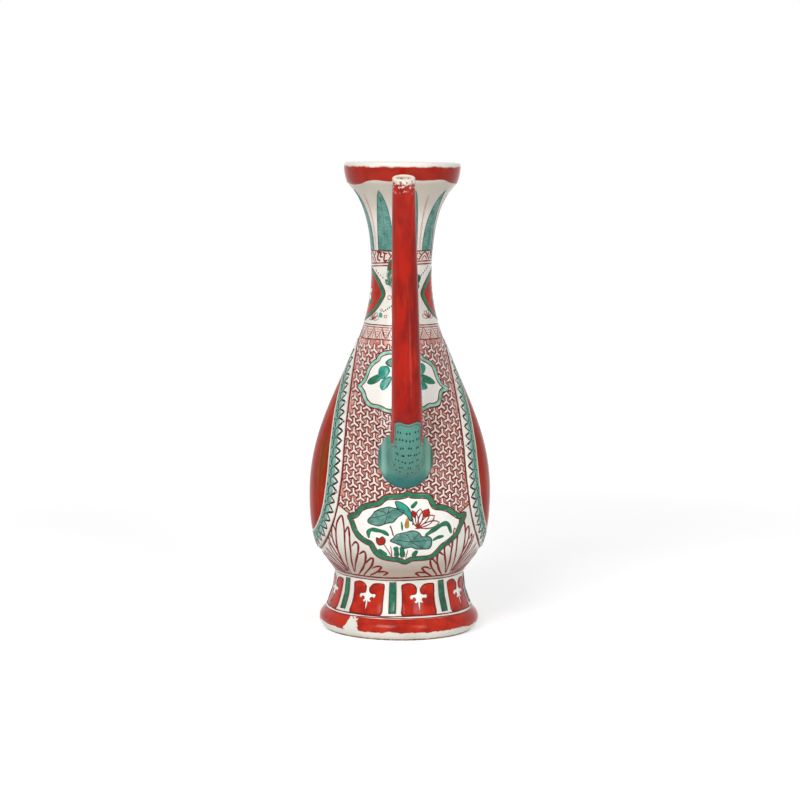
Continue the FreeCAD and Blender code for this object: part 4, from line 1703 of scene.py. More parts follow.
class Tree:
    # named inputs, a motif among them; it ends in plain geometry with its material set
    def __init__(self, name, **sockets):
        self.group = bpy.data.node_groups.new(name, "GeometryNodeTree")
        face = self.group.interface
        for way in ("INPUT", "OUTPUT"):
            face.new_socket("Geometry", in_out=way, socket_type="NodeSocketGeometry")
        for label, kind in {"Motif": "Object", **sockets, "Seed": "Int", "Material": "Material"}.items():
            face.new_socket(label, in_out="INPUT", socket_type="NodeSocket" + kind)
        self.given = self.group.nodes.new("NodeGroupInput").outputs
        self.result = self.group.nodes.new("NodeGroupOutput")

    def add(self, kind, settings=None, inputs=None):
        return addNode(self.group, kind, settings, inputs).outputs

    def math(self, operation, first, second=0.0):
        return self.add("ShaderNodeMath", {"operation": operation}, {0: first, 1: second})[0]

    def vector(self, **axes):
        return self.add("ShaderNodeCombineXYZ", None, axes)[0]

    def position(self):
        return self.add("GeometryNodeInputPosition")[0]

    def random(self, reach, salt):
        low = self.math("MULTIPLY", reach, -1.0)
        seed = self.math("ADD", self.given["Seed"], float(salt))
        sockets = {"Min": low, "Max": reach, "Seed": seed}
        return self.add("FunctionNodeRandomValue", {"data_type": "FLOAT"}, sockets)["Value"]

    def shape(self, label):
        source = {"Object": self.given[label]}
        return self.add("GeometryNodeObjectInfo", {"transform_space": "ORIGINAL"}, source)["Geometry"]

    def instances(self, points, **sockets):
        sockets.update(Points=points, Instance=self.shape("Motif"))
        return self.add("GeometryNodeInstanceOnPoints", None, sockets)[0]

    def real(self, geometry):
        return self.add("GeometryNodeRealizeInstances", None, {"Geometry": geometry})[0]

    def nearest(self, surface, value, place):
        sockets = {"Mesh": surface, "Value": value, "Sample Position": place}
        return self.add("GeometryNodeSampleNearestSurface", {"data_type": "FLOAT_VECTOR"}, sockets)["Value"]

    def lay(self, geometry, place, normal, height):
        # geometry moved to a place on a surface, each point at its height above it
        rise = self.add("ShaderNodeVectorMath", {"operation": "SCALE"}, {0: normal, "Scale": height})[0]
        place = self.add("ShaderNodeVectorMath", {"operation": "ADD"}, {0: place, 1: rise})[0]
        return self.add("GeometryNodeSetPosition", None, {"Geometry": geometry, "Position": place})[0]

    def close(self, geometry):
        sockets = {"Geometry": self.real(geometry), "Material": self.given["Material"]}
        dressed = self.add("GeometryNodeSetMaterial", None, sockets)[0]
        self.group.links.new(dressed, self.result.inputs[0])
        return self

    def grow(self, name, host, dress, **values):
        # run the tree on a host object and keep the result as a plain mesh
        values["Material"] = dress.material
        modifier = host.modifiers.new("grow", "NODES")
        modifier.node_group = self.group
        for item in self.group.interface.items_tree:
            if item.in_out == "INPUT" and item.name in values:
                modifier[item.identifier] = values[item.name]
        graph = bpy.context.evaluated_depsgraph_get()
        grown = host.evaluated_get(graph)
        mesh = bpy.data.meshes.new_from_object(grown, preserve_all_data_layers=True, depsgraph=graph)
        host.modifiers.remove(modifier)
        mesh.name = name
        mesh.polygons.foreach_set("use_smooth", [True] * len(mesh.polygons))
        return settle(newObject(name, mesh))


def roundTree():
    # a motif repeated round the vessel's axis, each turned a little by hand
    t = Tree("roundTheAxis", Count="Int", First="Float", Shake="Float")
    points = t.add("GeometryNodePoints", None, {"Count": t.given["Count"], "Position": (0, 0, 0)})[0]
    pitch = t.math("DIVIDE", 2 * math.pi, t.given["Count"])
    index = t.add("GeometryNodeInputIndex")[0]
    turn = t.math("ADD", t.math("MULTIPLY", index, pitch), t.given["First"])
    turn = t.math("ADD", turn, t.random(t.given["Shake"], 1))
    return t.close(t.instances(points, Rotation=t.vector(Z=turn)))


def wrapTree():
    # flat motifs on a lattice, shaken, then wrapped on the wall by rays from the axis
    t = Tree("wrapOnTheWall", Wall="Object", Turn="Float", Spin="Float", Size="Float")
    spin = t.vector(Z=t.random(t.given["Spin"], 2))
    size = t.math("ADD", t.random(t.given["Size"], 3), 1.0)
    real = t.real(t.instances(t.given["Geometry"], Rotation=spin, Scale=size))
    wall = t.shape("Wall")
    place = t.add("ShaderNodeSeparateXYZ", None, {0: t.position()})
    start = t.vector(Z=place["Y"])

    def ray(direction):
        sockets = {"Target Geometry": wall, "Source Position": start}
        sockets.update({"Ray Direction": direction, "Ray Length": 0.5})
        return t.add("GeometryNodeRaycast", None, sockets)

    reach = ray((0.0, -1.0, 0.0))["Hit Distance"]
    angle = t.math("ADD", t.math("DIVIDE", place["X"], reach), t.given["Turn"])
    ahead = t.vector(X=t.math("SINE", angle), Y=t.math("MULTIPLY", t.math("COSINE", angle), -1.0))
    hit = ray(ahead)
    return t.close(t.lay(real, hit["Hit Position"], hit["Hit Normal"], place["Z"]))


def alongTree():
    # a motif at even steps along a closed path on a piece's surface, standing up from it
    t = Tree("alongTheRim", Path="Object", Surface="Object", Count="Int", Shake="Float")
    curve = t.add("GeometryNodeMeshToCurve", None, {"Mesh": t.shape("Path")})[0]
    steps = t.add("GeometryNodeCurveToPoints", {"mode": "COUNT"}, {"Curve": curve, "Count": t.given["Count"]})
    surface = t.shape("Surface")
    normal = t.add("GeometryNodeInputNormal")[0]
    here = t.position()
    kind = "FunctionNodeAlignRotationToVector"
    stand = t.add(kind, {"axis": "Z"}, {"Vector": t.nearest(surface, normal, here)})[0]
    ahead = {"Rotation": stand, "Vector": steps["Tangent"]}
    stand = t.add(kind, {"axis": "Y", "pivot_axis": "Z"}, ahead)[0]
    size = t.math("ADD", t.random(t.given["Shake"], 4), 1.0)
    real = t.real(t.instances(steps["Points"], Rotation=stand, Scale=size))
    rise = t.add("GeometryNodeInputNamedAttribute", {"data_type": "FLOAT"}, {"Name": "rise"})["Attribute"]
    return t.close(t.lay(real, t.nearest(surface, here, here), t.nearest(surface, normal, here), rise))


roundRepeat = roundTree()
wallRepeat = wrapTree()
rimRepeat = alongTree()
emptyHost = newObject("emptyHost", bpy.data.meshes.new("emptyHost"))
spare = [emptyHost]


def sparePiece(piece):
    # a helper that is removed at the end
    spare.append(piece)
    return piece


def flatPlace(x, y, lift=0.0):
    return np.stack(np.broadcast_arrays(x, y, lift), axis=-1)


def motifPiece(enamel, name):
    points = np.concatenate(enamel.points)
    piece = makeMesh(name, points, enamel.faces)
    addValue(piece, "rimDistance", np.concatenate(enamel.rims))
    addValue(piece, "rise", points[:, 2] * mm)
    return sparePiece(piece)


def repeatRound(name, parts, c):
    # parts holds the motif's enamels, each with the one whose colour it takes
    turns = {"Count": c["count"], "First": c["first"], "Shake": c["shake"], "Seed": c["seed"]}
    for label, (motif, dress) in parts.items():
        shape = motifPiece(motif, name + label + "Motif")
        roundRepeat.grow(name + label, emptyHost, dress, Motif=shape, **turns)


# neck: upright leaves, fret band, ogival panels and the hatched shoulder band

neckLeaves = {
    "count": 8,
    "first": math.radians(-36.0),
    "shake": math.radians(1.2),
    "seed": 5,
    "low": 244.5,
    "high": 282.6,
    "halfAngle": 16.4,
    "lean": 3.5,
    "fill": dict(lift=0.12, grain=1.7, soft=0.5),
    "edge": dict(width=0.38, lift=0.17, closed=True),
    "rib": dict(width=0.3, lift=0.19),
    "hatch": dict(width=0.26, lift=0.18),
    "hatchStep": 2.1,
    "hatchReach": 0.92,
    "wave": 1.5,              # degrees that the pair of lines between two leaves sways
    "waveShifts": (-0.9, 1.0),
    "waveLine": dict(width=0.3, lift=0.08),
}


def neckLeaf():
    c = neckLeaves
    share = np.linspace(0, 1, 16)
    z = c["low"] + (c["high"] - c["low"]) * share
    half = np.radians(c["halfAngle"]) * np.cos(share * math.pi / 2) ** 0.8
    bend = np.radians(c["lean"]) * share**2
    base = pairs(np.linspace(-half[0], half[0], 7)[1:-1], c["low"])
    fill, line, vein = Enamel(), Enamel(), Enamel()
    outline = np.concatenate([pairs(half + bend, z), pairs(bend - half, z)[-2::-1], base])
    fill.patch(outline, **c["fill"])
    line.stroke(outline, **c["edge"])
    for row in np.arange(c["low"] + 1.6, c["high"] - 4, c["hatchStep"]):
        reach = np.interp(row, z, half) * c["hatchReach"]
        for side in (-1, 1) if reach > 0.05 else ():
            turn = np.interp(row, z, bend) + side * reach * np.array((0.05, 0.4, 0.72, 1.0))
            line.stroke(pairs(turn, row + np.array((-0.5, 0.5, 0.9, 0.6))), **c["hatch"])
    line.stroke(pairs(bend, z)[:-2], **c["rib"])
    rows = np.linspace(c["low"], c["high"] - 3, 34)
    wave = np.radians(c["wave"]) * np.sin(rows * 1.9) * np.clip((c["high"] - 12 - rows) / 14, 0, 1)
    for shift in c["waveShifts"]:
        vein.stroke(pairs(math.pi / c["count"] + np.radians(shift) + wave * shift, rows), **c["waveLine"])
    return {"Fill": (fill, blueGreen), "Line": (line, tealLine), "Vein": (vein, paleLine)}


repeatRound("neckLeaf", neckLeaf(), neckLeaves)

neckBand = {
    "high": 244.0,
    "low": 235.4,
    "gap": 1.2,
    "tilt": 1.2,              # the band's lower edge hangs lower on one side
    "highTilt": 0.2,
    "edge": dict(width=0.9, lift=0.08, closed=True),
    "mark": dict(lift=0.09, taper=0.7),
    "repeats": 12,
    # strokes of the two signs that take turns: points as shares of the cell, and a width
    "fret": (
        (((0.1, 0.9), (0.45, 0.9)), 1.44),
        (((0.28, 0.9), (0.14, 0.3), (0.4, 0.12)), 1.44),
        (((0.52, 1.0), (0.4, 0.5), (0.62, 0.5)), 1.28),
        (((0.62, 0.9), (0.95, 0.8)), 1.28),
        (((0.78, 0.85), (0.7, 0.1), (0.94, 0.2)), 1.36),
    ),
    "peak": (
        (((0.0, 0.0), (0.5, 1.0), (1.0, 0.0)), 1.12),
        (((0.24, 0.0), (0.5, 0.52), (0.76, 0.0)), 0.72),
        (((0.02, 0.95), (0.2, 0.6)), 0.96),
        (((0.98, 0.95), (0.8, 0.6)), 0.96),
    ),
}


def tilted(z, tilt, turn):
    return z + tilt * np.sin(turn + 0.6)


def paintNeckBand():
    c = neckBand
    turn = circle(90)
    floor = c["low"] + c["gap"]
    rings = (
        (c["high"], c["highTilt"], darkLine),
        (floor, c["tilt"], darkLine),
        (c["low"] - 0.6, c["tilt"], redLine),
    )
    for z, tilt, enamel in rings:
        enamel.stroke(pairs(turn, tilted(z, tilt, turn)), **c["edge"])
    step = 2 * math.pi / c["repeats"]
    low = floor + 0.9
    tall = c["high"] - 0.4 - low
    for k in range(c["repeats"]):
        for points, width in c["peak" if k % 2 else "fret"]:
            rows = [((k + u) * step, tilted(low + tall * v, c["tilt"] * (1 - v), k * step)) for u, v in points]
            darkLine.stroke(eased(rows), width, **c["mark"])


paintNeckBand()

neckOgive = {
    "halfAngle": 51.0,
    "low": 200.4,
    "high": 232.0,
    "rim": (
        (0.0, 0.0), (0.3, 0.06), (0.57, 0.15), (0.8, 0.29), (0.93, 0.42), (1.0, 0.53), (0.9, 0.64),
        (0.7, 0.78), (0.5, 0.88), (0.27, 0.95), (0.0, 1.0),
    ),
    "ground": dict(lift=0.1, grain=1.8, soft=0.5),
    "border": dict(width=3.0, lift=0.17, closed=True),
    "edge": dict(width=0.85, lift=0.17, closed=True),
    "petals": 6,
    "petalReach": 6.2,
    "petalHalf": 1.7,
    "petal": dict(lift=0.15, grain=1.2, soft=0.4),
    "heart": dict(radius=1.5, lift=0.24),
    "leafFrom": (0.12, -5.5),
    "leafRun": (0.34, 1.5),
    "leafHalf": 1.6,
    "leaf": dict(lift=0.2, grain=1.2, soft=0.6),
}


def paintOgives():
    c = neckOgive
    right = np.array(c["rim"])
    outline = np.concatenate([right, right[-2:0:-1] * (-1, 1)])
    line = eased(outline * (math.radians(c["halfAngle"]), c["high"] - c["low"]) + (0, c["low"]), closed=True)
    for side in (-math.pi / 2, math.pi / 2):
        redFill.patch(turned(line, side), **c["ground"])
        greenFill.stroke(turned(line, side), **c["border"])
        darkLine.stroke(turned(offsetLine(line, -c["border"]["width"] / 2), side), **c["edge"])
        centre = np.array((side, (c["low"] + c["high"]) / 2))
        for angle in circle(c["petals"]) + math.pi / c["petals"]:
            petal = petalOutline(centre, nearby(centre, c["petalReach"], angle), c["petalHalf"])
            reserve.patch(petal, **c["petal"])
        ochreFill.dot(centre, **c["heart"])
        for way in ((-1, 1), (1, 1)):
            base = centre + np.multiply(c["leafFrom"], way)
            leaf = petalOutline(base, base + np.multiply(c["leafRun"], way), c["leafHalf"])
            greenFill.patch(leaf, **c["leaf"])


paintOgives()

neckMarks = {
    "dashes": (
        ((376.4, 270.6), (385.6, 280.0)),
        ((427.6, 266.2), (421.4, 275.0)),
        ((391.4, 306.3), (384.0, 311.4)),
    ),
    "dash": dict(radius=0.5, lift=0.1, stretch=1.4),
    "rings": (((389.5, 297.6), 1.3), ((381.5, 310.3), 0.7), ((385.5, 316.6), 0.9)),
    "ring": dict(width=0.55, lift=0.1, closed=True),
    "greenRings": (((387.8, 282.2), 1.35), ((418.8, 277.6), 1.3)),
    "greenRing": dict(width=1.1, lift=0.1, closed=True),
    "arc": ((391.4, 259.6), (389.0, 264.2), (388.5, 270.0), (389.2, 276.4), (391.8, 283.4)),
    "arcMirror": 0.32,
    "arcFill": dict(lift=0.09, grain=1.6, soft=0.4),
    "arcLine": dict(width=1.7, lift=0.16),
    "blob": ((380.3, 312.4), (382.4, 314.0), (382.0, 317.4), (379.6, 317.0), (379.0, 314.4)),
    "blobFill": dict(lift=0.15, grain=1.2, soft=0.5),
    "flowers": ((372.8, 319.4), (428.6, 317.6)),
    "petals": (20, 55, 90, 125, 160),
    "petalReach": (5.6, 5.2),
    "petalHalf": 1.3,
    "petal": dict(width=0.45, lift=0.1, closed=True),
    "hair": dict(width=0.45, lift=0.12),
    "hairs": (-0.1, -0.05, 0.0, 0.05),
    "orange": (426.6, 315.4),
    "orangeDot": dict(radius=0.8, lift=0.12),
}


def paintNeckMarks():
    c = neckMarks
    for turn in sides:
        for ends in c["dashes"]:
            for place in np.linspace(*turned(fromPhoto(ends), turn), 5):
                blackLine.dot(place, **c["dash"])
        for enamel, key in ((paleLine, "ring"), (greenFill, "greenRing")):
            for pixel, radius in c[key + "s"]:
                enamel.stroke(turned(nearby(fromPhoto([pixel])[0], radius, circle(12)), turn), **c[key])
        arc = drawn(c["arc"])
        redFill.patch(turned(np.concatenate([arc, arc[::-1] + (c["arcMirror"], 0.0)]), turn), **c["arcFill"])
        greenFill.stroke(turned(arc, turn), **c["arcLine"])
        tealFill.patch(turned(drawn(c["blob"], closed=True), turn), **c["blobFill"])
        wide, tall = c["petalReach"]
        for centre in fromPhoto(c["flowers"]):
            for angle in c["petals"]:
                tip = nearby(centre, wide, math.radians(angle), tall)
                redLine.stroke(turned(petalOutline(centre, tip, c["petalHalf"]), turn), **c["petal"])
            for across in c["hairs"]:
                start = turned(centre + (across, -0.6), turn)
                redLine.stroke([start, start + (0.09, 2.2)], **c["hair"])
        ochreFill.dot(turned(fromPhoto([c["orange"]])[0], turn), **c["orangeDot"])


paintNeckMarks()

shoulderBand = {
    "rings": ((197.4, 0.8), (196.0, 0.6), (188.5, 0.8)),    # height and width, from the top
    "repeats": 22,
    "hatch": 5,
    "slant": dict(width=0.75, lift=0.09),
    "line": dict(width=0.5, lift=0.08),
    "bow": 0.25,
}


def paintShoulderBand():
    c = shoulderBand
    for z, width in c["rings"]:
        ring(darkLine, z, width)
    step = 2 * math.pi / c["repeats"]
    high, low = c["rings"][1][0], c["rings"][2][0]

    def line(enamel, start, end, look, bow=0.0):
        enamel.stroke([start, (start + end) / 2 + (0, bow), end], **look)

    for k in range(c["repeats"]):
        turn = (k + 0.1 * math.sin(5 * k)) * step
        a, b, d, e = (np.array((turn + step * u, z)) for u, z in ((0, high), (0.5, low), (1, high), (1.5, low)))
        line(darkLine, a, b, c["slant"])
        line(redLine, b, d, c["slant"])
        for share in np.arange(1, c["hatch"]) / c["hatch"]:
            line(redLine, a + (b - a) * share, d + (b - d) * share, c["line"], c["bow"] * (1 if k % 2 else -1))
            line(redLine, b + (d - b) * share, b + (e - b) * share, c["line"])


paintShoulderBand()
print("neck painted")

# interlocked stars of the diaper ground

diaper = {
    "columns": 9,             # on each side of the middle
    "columnPitch": 4.9,
    "rowPitch": 5.35,
    "low": 80.5,
    "high": 185.6,
    "armLength": 3.05,
    "armWidth": 1.12,
    "lift": 0.055,
    "outline": 2.5,
    "outlineReach": 0.5,
    "outlineLift": 0.03,
    "armAngles": (-36.0, 92.0, 206.0),
    "spin": 0.12,
    "size": 0.07,
    "seed": 11,
    "closing": dict(width=0.9, lift=0.12),
    "closingReach": 44.5,
    # how far a star's middle stays from the panels, the ground's edge and the boss's rim
    "panelGap": 0.6,
    "edgeGap": 1.6,
    "bossOverlap": 2.0,
    "cartoucheOverlap": 2.4,
}


def star(width, length, lift):
    # three arms, joined in notches between them
    turns = np.radians(diaper["armAngles"])
    rim = []
    for turn, after in zip(turns, (*turns[1:], turns[0] + 2 * math.pi)):
        out = np.array((math.cos(turn), math.sin(turn)))
        side = np.array((-out[1], out[0])) * width / 2
        half = (after - turn) / 2
        notch = np.array((math.cos(turn + half), math.sin(turn + half))) * width / 2 / math.sin(half)
        rim += [out * length - side, out * length + side, notch]
    x, y = np.array(rim).T
    points = np.concatenate([flatPlace(x, y, -0.08), flatPlace(x * 0.985, y * 0.985, lift)])
    return points, endFaces(2, len(rim)) + gridFaces(2, len(rim))


def groundEdge(x):
    # the ground's lower edge, which rises from the cartouche's tips to the panels
    rise = np.maximum(np.abs(x) - washBands["tipReach"], 0)
    return diaper["low"] + washBands["edgeSlope"] * rise


def diaperPlaces():
    # flat lattice places (arc length from the middle, height) that the ground covers
    c = diaper
    rows = []
    for i in range(-c["columns"], c["columns"] + 1):
        shift = c["rowPitch"] / 2 if i % 2 else 0.0
        for z in np.arange(c["low"] + shift, c["high"], c["rowPitch"]):
            rows.append((i * c["columnPitch"] + 0.35 * math.sin(z * 0.7 + i), z + 0.3 * math.sin(i * 2.3 + z)))
    rows = np.array(rows)
    z = rows[:, 1]
    theta = rows[:, 0] / wallRadius(z)
    place = onWall(theta, z)
    width = np.interp(z, leafHalf[:, 1], leafHalf[:, 0], left=0, right=0)
    keep = (np.abs(theta) < math.pi / 2) & (-place[:, 1] > width + c["panelGap"])
    keep &= z > groundEdge(place[:, 0]) + c["edgeGap"]
    for pixels in (lowerCartouche, upperCartouche):
        outline = fromPhoto(pixels)
        deep = edgeDistance(rows, outline * (wallRadius(outline[:, 1].mean()), 1))
        keep &= ~(crossed(pairs(theta, z), outline) & (deep > c["cartoucheOverlap"]))
    fromBoss = np.linalg.norm(place - bossFrame()[0], axis=1)
    return rows, keep, fromBoss > bossShape["radius"] - c["bossOverlap"]


def outerSkin():
    # the wall's outer side, for the rays to meet
    profile = rowsBetween(outerRows, 40, 262)
    points = np.concatenate([aroundAxis(radius, circle(256), z) for radius, z in profile])
    return sparePiece(makeMesh("outerSkin", points, gridFaces(len(profile), 256)))


def paintDiaper():
    c = diaper
    skin = outerSkin()
    rows, keep, free = diaperPlaces()
    layers = (
        ("Outline", (c["outline"], c["armLength"] + c["outlineReach"], c["outlineLift"]), darkLine),
        ("Star", (c["armWidth"], c["armLength"], c["lift"]), starWhite),
    )
    for name, sizes, dress in layers:
        shape = sparePiece(makeMesh("star" + name, *star(*sizes)))
        addValue(shape, "rimDistance", np.zeros(len(shape.data.vertices)))
        for label, turn, places in (("Front", 0.0, rows[keep & free]), ("Back", math.pi, rows[keep])):
            host = sparePiece(makeMesh("lattice" + name + label, flatPlace(*places.T), []))
            shaken = {"Spin": c["spin"], "Size": c["size"], "Seed": c["seed"]}
            grown = "diaper" + name + label
            wallRepeat.grow(grown, host, dress, Motif=shape, Wall=skin, Turn=turn, **shaken)
            print(grown, len(places), "stars")


paintDiaper()


def closeGround():
    # the red line under the diaper, from the cartouche's tips out to the panels
    c = diaper
    x = np.linspace(washBands["tipReach"] - 0.5, c["closingReach"], 9)
    z = groundEdge(x) - 0.2
    line = pairs(np.arcsin(np.minimum(x / wallRadius(z), 1.0)), z)
    for turn in sides:
        for side in (-1, 1):
            darkLine.stroke(turned(line * (side, 1), turn), **c["closing"])


closeGround()

# long petals that fan out round the foot of the body, and the double line at the junction

leftFan = [
    [
        (347.1, 568.8), (340.4, 555.4), (337.7, 548.7), (336.0, 531.9), (337.1, 521.9), (341.7, 515.4),
        (343.4, 521.9), (344.4, 531.9), (344.8, 542.0), (345.8, 555.4), (349.6, 570.1),
    ],
    [
        (344.6, 533.4), (348.1, 526.8), (349.4, 535.3), (349.8, 542.0), (350.8, 552.0), (351.8, 562.0),
        (354.2, 571.4),
    ],
    [
        (351.6, 546.4), (355.0, 542.2), (357.6, 543.4), (358.4, 547.0), (357.8, 554.0), (355.9, 562.0),
        (354.9, 572.0),
    ],
    [(359.0, 554.4), (364.0, 551.4), (365.7, 555.4), (365.2, 562.0), (362.5, 568.8), (358.8, 574.4)],
    [(365.7, 563.6), (369.8, 559.0), (372.8, 558.4), (372.9, 562.0), (370.5, 567.4), (363.8, 575.2)],
    [(371.8, 568.4), (377.0, 566.4), (381.3, 567.0), (379.9, 569.4), (376.6, 572.1), (369.9, 575.4)],
    [(376.6, 572.4), (383.3, 571.6), (387.6, 572.8), (383.3, 575.6)],
    [
        (347.6, 570.4), (338.4, 552.0), (333.7, 542.0), (331.7, 531.9), (332.7, 524.8), (335.7, 530.6),
        (336.4, 540.0),
    ],
    [(347.0, 570.6), (341.7, 560.7), (331.7, 545.3), (329.0, 538.6), (328.6, 532.4), (331.6, 537.6)],
]
fan = {
    "left": -44.5,            # degrees to the fans' middles
    "right": 39.5,
    "spread": 0.94,
    "petal": dict(width=1.6, lift=0.1),
    # fine petals that run on under the side panel
    "fine": dict(width=1.15, lift=0.1),
    "fineCount": 7,
    "fineReach": (9.0, 5.4),  # of the first, and added by each next one
    "fineTop": (66.0, -3.2),
    "fineHalf": 1.5,
    "odd": 2.0,               # every other one is this much lower
    "underRim": 2.5,
    "rings": ((2.3, 1.35, 0.1), (0.3, 1.05, 0.08)),    # above the waist, width, lift
}


def finePetal(start, way, k):
    c = fan
    reach = c["fineReach"][0] + c["fineReach"][1] * k
    top = c["fineTop"][0] + c["fineTop"][1] * k - c["odd"] * (k % 2)
    base = (start + way * reach / 3.4 / 47, waistZ + 2.6)
    turn = start + way * (reach + 4) / 50
    lower = leafHalf[: len(leafHalf) // 2]
    across = wallRadius(top) * math.sin(max(math.pi / 2 - abs(turn), 0))
    tip = (turn, min(top, np.interp(across, lower[:, 0], lower[:, 1]) - c["underRim"]))
    return petalOutline(base, tip, c["fineHalf"], steps=10)


def paintFans():
    c = fan
    left, right = math.radians(c["left"]), math.radians(c["right"])
    for turn in sides:
        for pixels in leftFan:
            line = drawn(pixels)
            redLine.stroke(turned(line, turn), **c["petal"])
            other = pairs(right - (line[:, 0] - left) * c["spread"], line[:, 1] - 0.4)
            redLine.stroke(turned(other, turn), **c["petal"])
        for start, way in ((left, -1), (right, 1)):
            for k in range(c["fineCount"]):
                outline = finePetal(start, way, k)
                half = len(outline) // 2
                for part in (outline[: half + 2], outline[half:]):
                    redLine.stroke(turned(part, turn), **c["fine"])
    for rise, width, lift in c["rings"]:
        ring(darkLine, waistZ + rise, width, lift)


paintFans()
print("body painted")

# foot: eight panels between green bars

footPanels = {
    "count": 8,
    "first": math.radians(-31.8),
    "shake": math.radians(0.7),
    "seed": 5,
    "low": 15.9,
    "high": 34.7,
    "halfAngle": 14.6,
    "outline": [
        (0.94, 0.0), (0.97, 0.35), (1.0, 0.7), (1.02, 0.95), (0.9, 1.0), (0.6, 1.0), (0.36, 0.98), (0.22, 0.91),
        (0.11, 0.8), (0.12, 0.7), (0.0, 0.62), (-0.12, 0.7), (-0.11, 0.82), (-0.19, 0.94), (-0.38, 1.01),
        (-0.66, 1.03), (-0.93, 0.99), (-1.0, 0.92), (-0.97, 0.6), (-0.97, 0.3), (-1.0, 0.0), (-0.5, -0.02),
        (0.0, -0.03), (0.5, -0.02),
    ],
    "field": dict(lift=0.12, grain=1.7, soft=0.5),
    "edge": dict(width=0.75, lift=0.24, closed=True),
    "fleur": [
        (0.07, 0.88), (0.08, 0.75), (0.14, 0.67), (0.27, 0.64), (0.41, 0.65), (0.48, 0.6), (0.43, 0.53),
        (0.35, 0.51), (0.3, 0.55), (0.2, 0.53), (0.14, 0.47), (0.24, 0.4), (0.14, 0.37), (0.05, 0.41),
        (0.045, 0.26), (0.0, 0.1), (-0.045, 0.26), (-0.05, 0.41), (-0.16, 0.36), (-0.25, 0.41), (-0.14, 0.48),
        (-0.19, 0.55), (-0.29, 0.56), (-0.33, 0.5), (-0.42, 0.5), (-0.48, 0.57), (-0.4, 0.64), (-0.26, 0.65),
        (-0.13, 0.67), (-0.08, 0.75), (-0.07, 0.89),
    ],
    "fleurWider": 1.12,
    "fleurFill": dict(lift=0.27, grain=1.0, soft=0.25),
    "fleurEdge": dict(width=0.3, lift=0.29),
    "curl": [(0.13, 0.76), (0.22, 0.68), (0.34, 0.67), (0.4, 0.74)],
    "curlLine": dict(width=0.35, lift=0.2),
    "bar": [(-1, 0.0, 0), (1, 0.0, 0.2), (1.05, 0.5, 0), (0.95, 1.0, 0), (-1, 1.0, -0.2), (-1.06, 0.5, 0)],
    "barHalf": 2.9,
    "barLow": 16.6,
    "barHigh": 36.2,
    "barFill": dict(lift=0.2, grain=1.4, soft=0.9),
    "barEdge": dict(width=0.4, lift=0.22, closed=True),
}


def footMotif():
    c = footPanels
    field, dark, white, bar = (Enamel() for _ in range(4))

    def place(rows):
        return np.array(rows) * (math.radians(c["halfAngle"]), c["high"] - c["low"]) + (0, c["low"])

    line = eased(place(c["outline"]), closed=True)
    field.patch(line, **c["field"])
    dark.stroke(line, **c["edge"])
    shape = place(c["fleur"])
    shape = shape.mean(axis=0) + (shape - shape.mean(axis=0)) * (c["fleurWider"], 1.0)
    white.patch(shape, **c["fleurFill"])
    dark.stroke(shape, **c["fleurEdge"])
    for side in (-1, 1):
        dark.stroke(eased(place(c["curl"]) * (side, 1)), **c["curlLine"])
    half, middle = math.radians(c["barHalf"]), math.pi / c["count"]
    tall = c["barHigh"] - c["barLow"]
    corners = [(middle + half * u, c["barLow"] + tall * v + shift) for u, v, shift in c["bar"]]
    bar.patch(corners, **c["barFill"])
    dark.stroke(corners, **c["barEdge"])
    parts = {"Field": (field, redFill), "Line": (dark, darkLine)}
    return {**parts, "Fleur": (white, reserve), "Bar": (bar, barGreen)}


repeatRound("footPanel", footMotif(), footPanels)
ring(darkLine, 15.2, 0.95, 0.1, 0.2)
ring(redLine, 13.9, 0.8, 0.1, 0.2, 2)
print("foot painted")

# side panels: outer line, black saw-tooth with green scales and dots

panelEdge = {
    "line": dict(width=1.3, lift=0.3, closed=True),
    "lineInset": -0.15,
    "inset": 5.6,
    "count": 50,
    "shake": 0.12,
    "seed": 3,
    # the motif's strokes and shapes, in millimetres; x runs along the edge
    "teeth": (
        ([(3.9, 0.2), (2.4, 1.1), (0.6, 2.2), (-1.2, 3.0)], dict(width=1.35, lift=0.13, taper=0.65)),
        ([(3.9, 0.2), (2.2, -0.7), (0.4, -1.8), (-1.2, -2.9)], dict(width=1.6, lift=0.12, taper=0.65)),
        (
            [(-1.2, 2.8), (-2.8, 2.2), (-3.9, 0.6), (-3.5, -1.4), (-2.2, -2.6)],
            dict(width=0.95, lift=0.12, taper=0.5),
        ),
    ),
    "scale": [(-3.2, 2.9), (-1.6, 2.7), (-0.2, 1.6), (0.5, 0.1), (-0.3, -1.6), (-1.6, -2.9), (-3.2, -3.0)],
    "scaleGrain": 1.6,
    "scaleLift": 0.06,
    "dotAt": (-5.0, 2.9),
    "dotRings": ((0.75, 0.95, -0.05), (0.5, 0.65, 0.12)),    # half width, half height, lift
}


def insetPath(line, inset):
    # the leaf's outline moved in over the panel, as places in space
    theta, z = offsetLine(line, inset).T
    keep = rimDistance(pairs(wallRadius(z) * np.sin(theta - math.pi / 2), z)) > inset * 0.93
    return onWall(theta[keep], z[keep], panelLeaf["relief"] - 0.02)


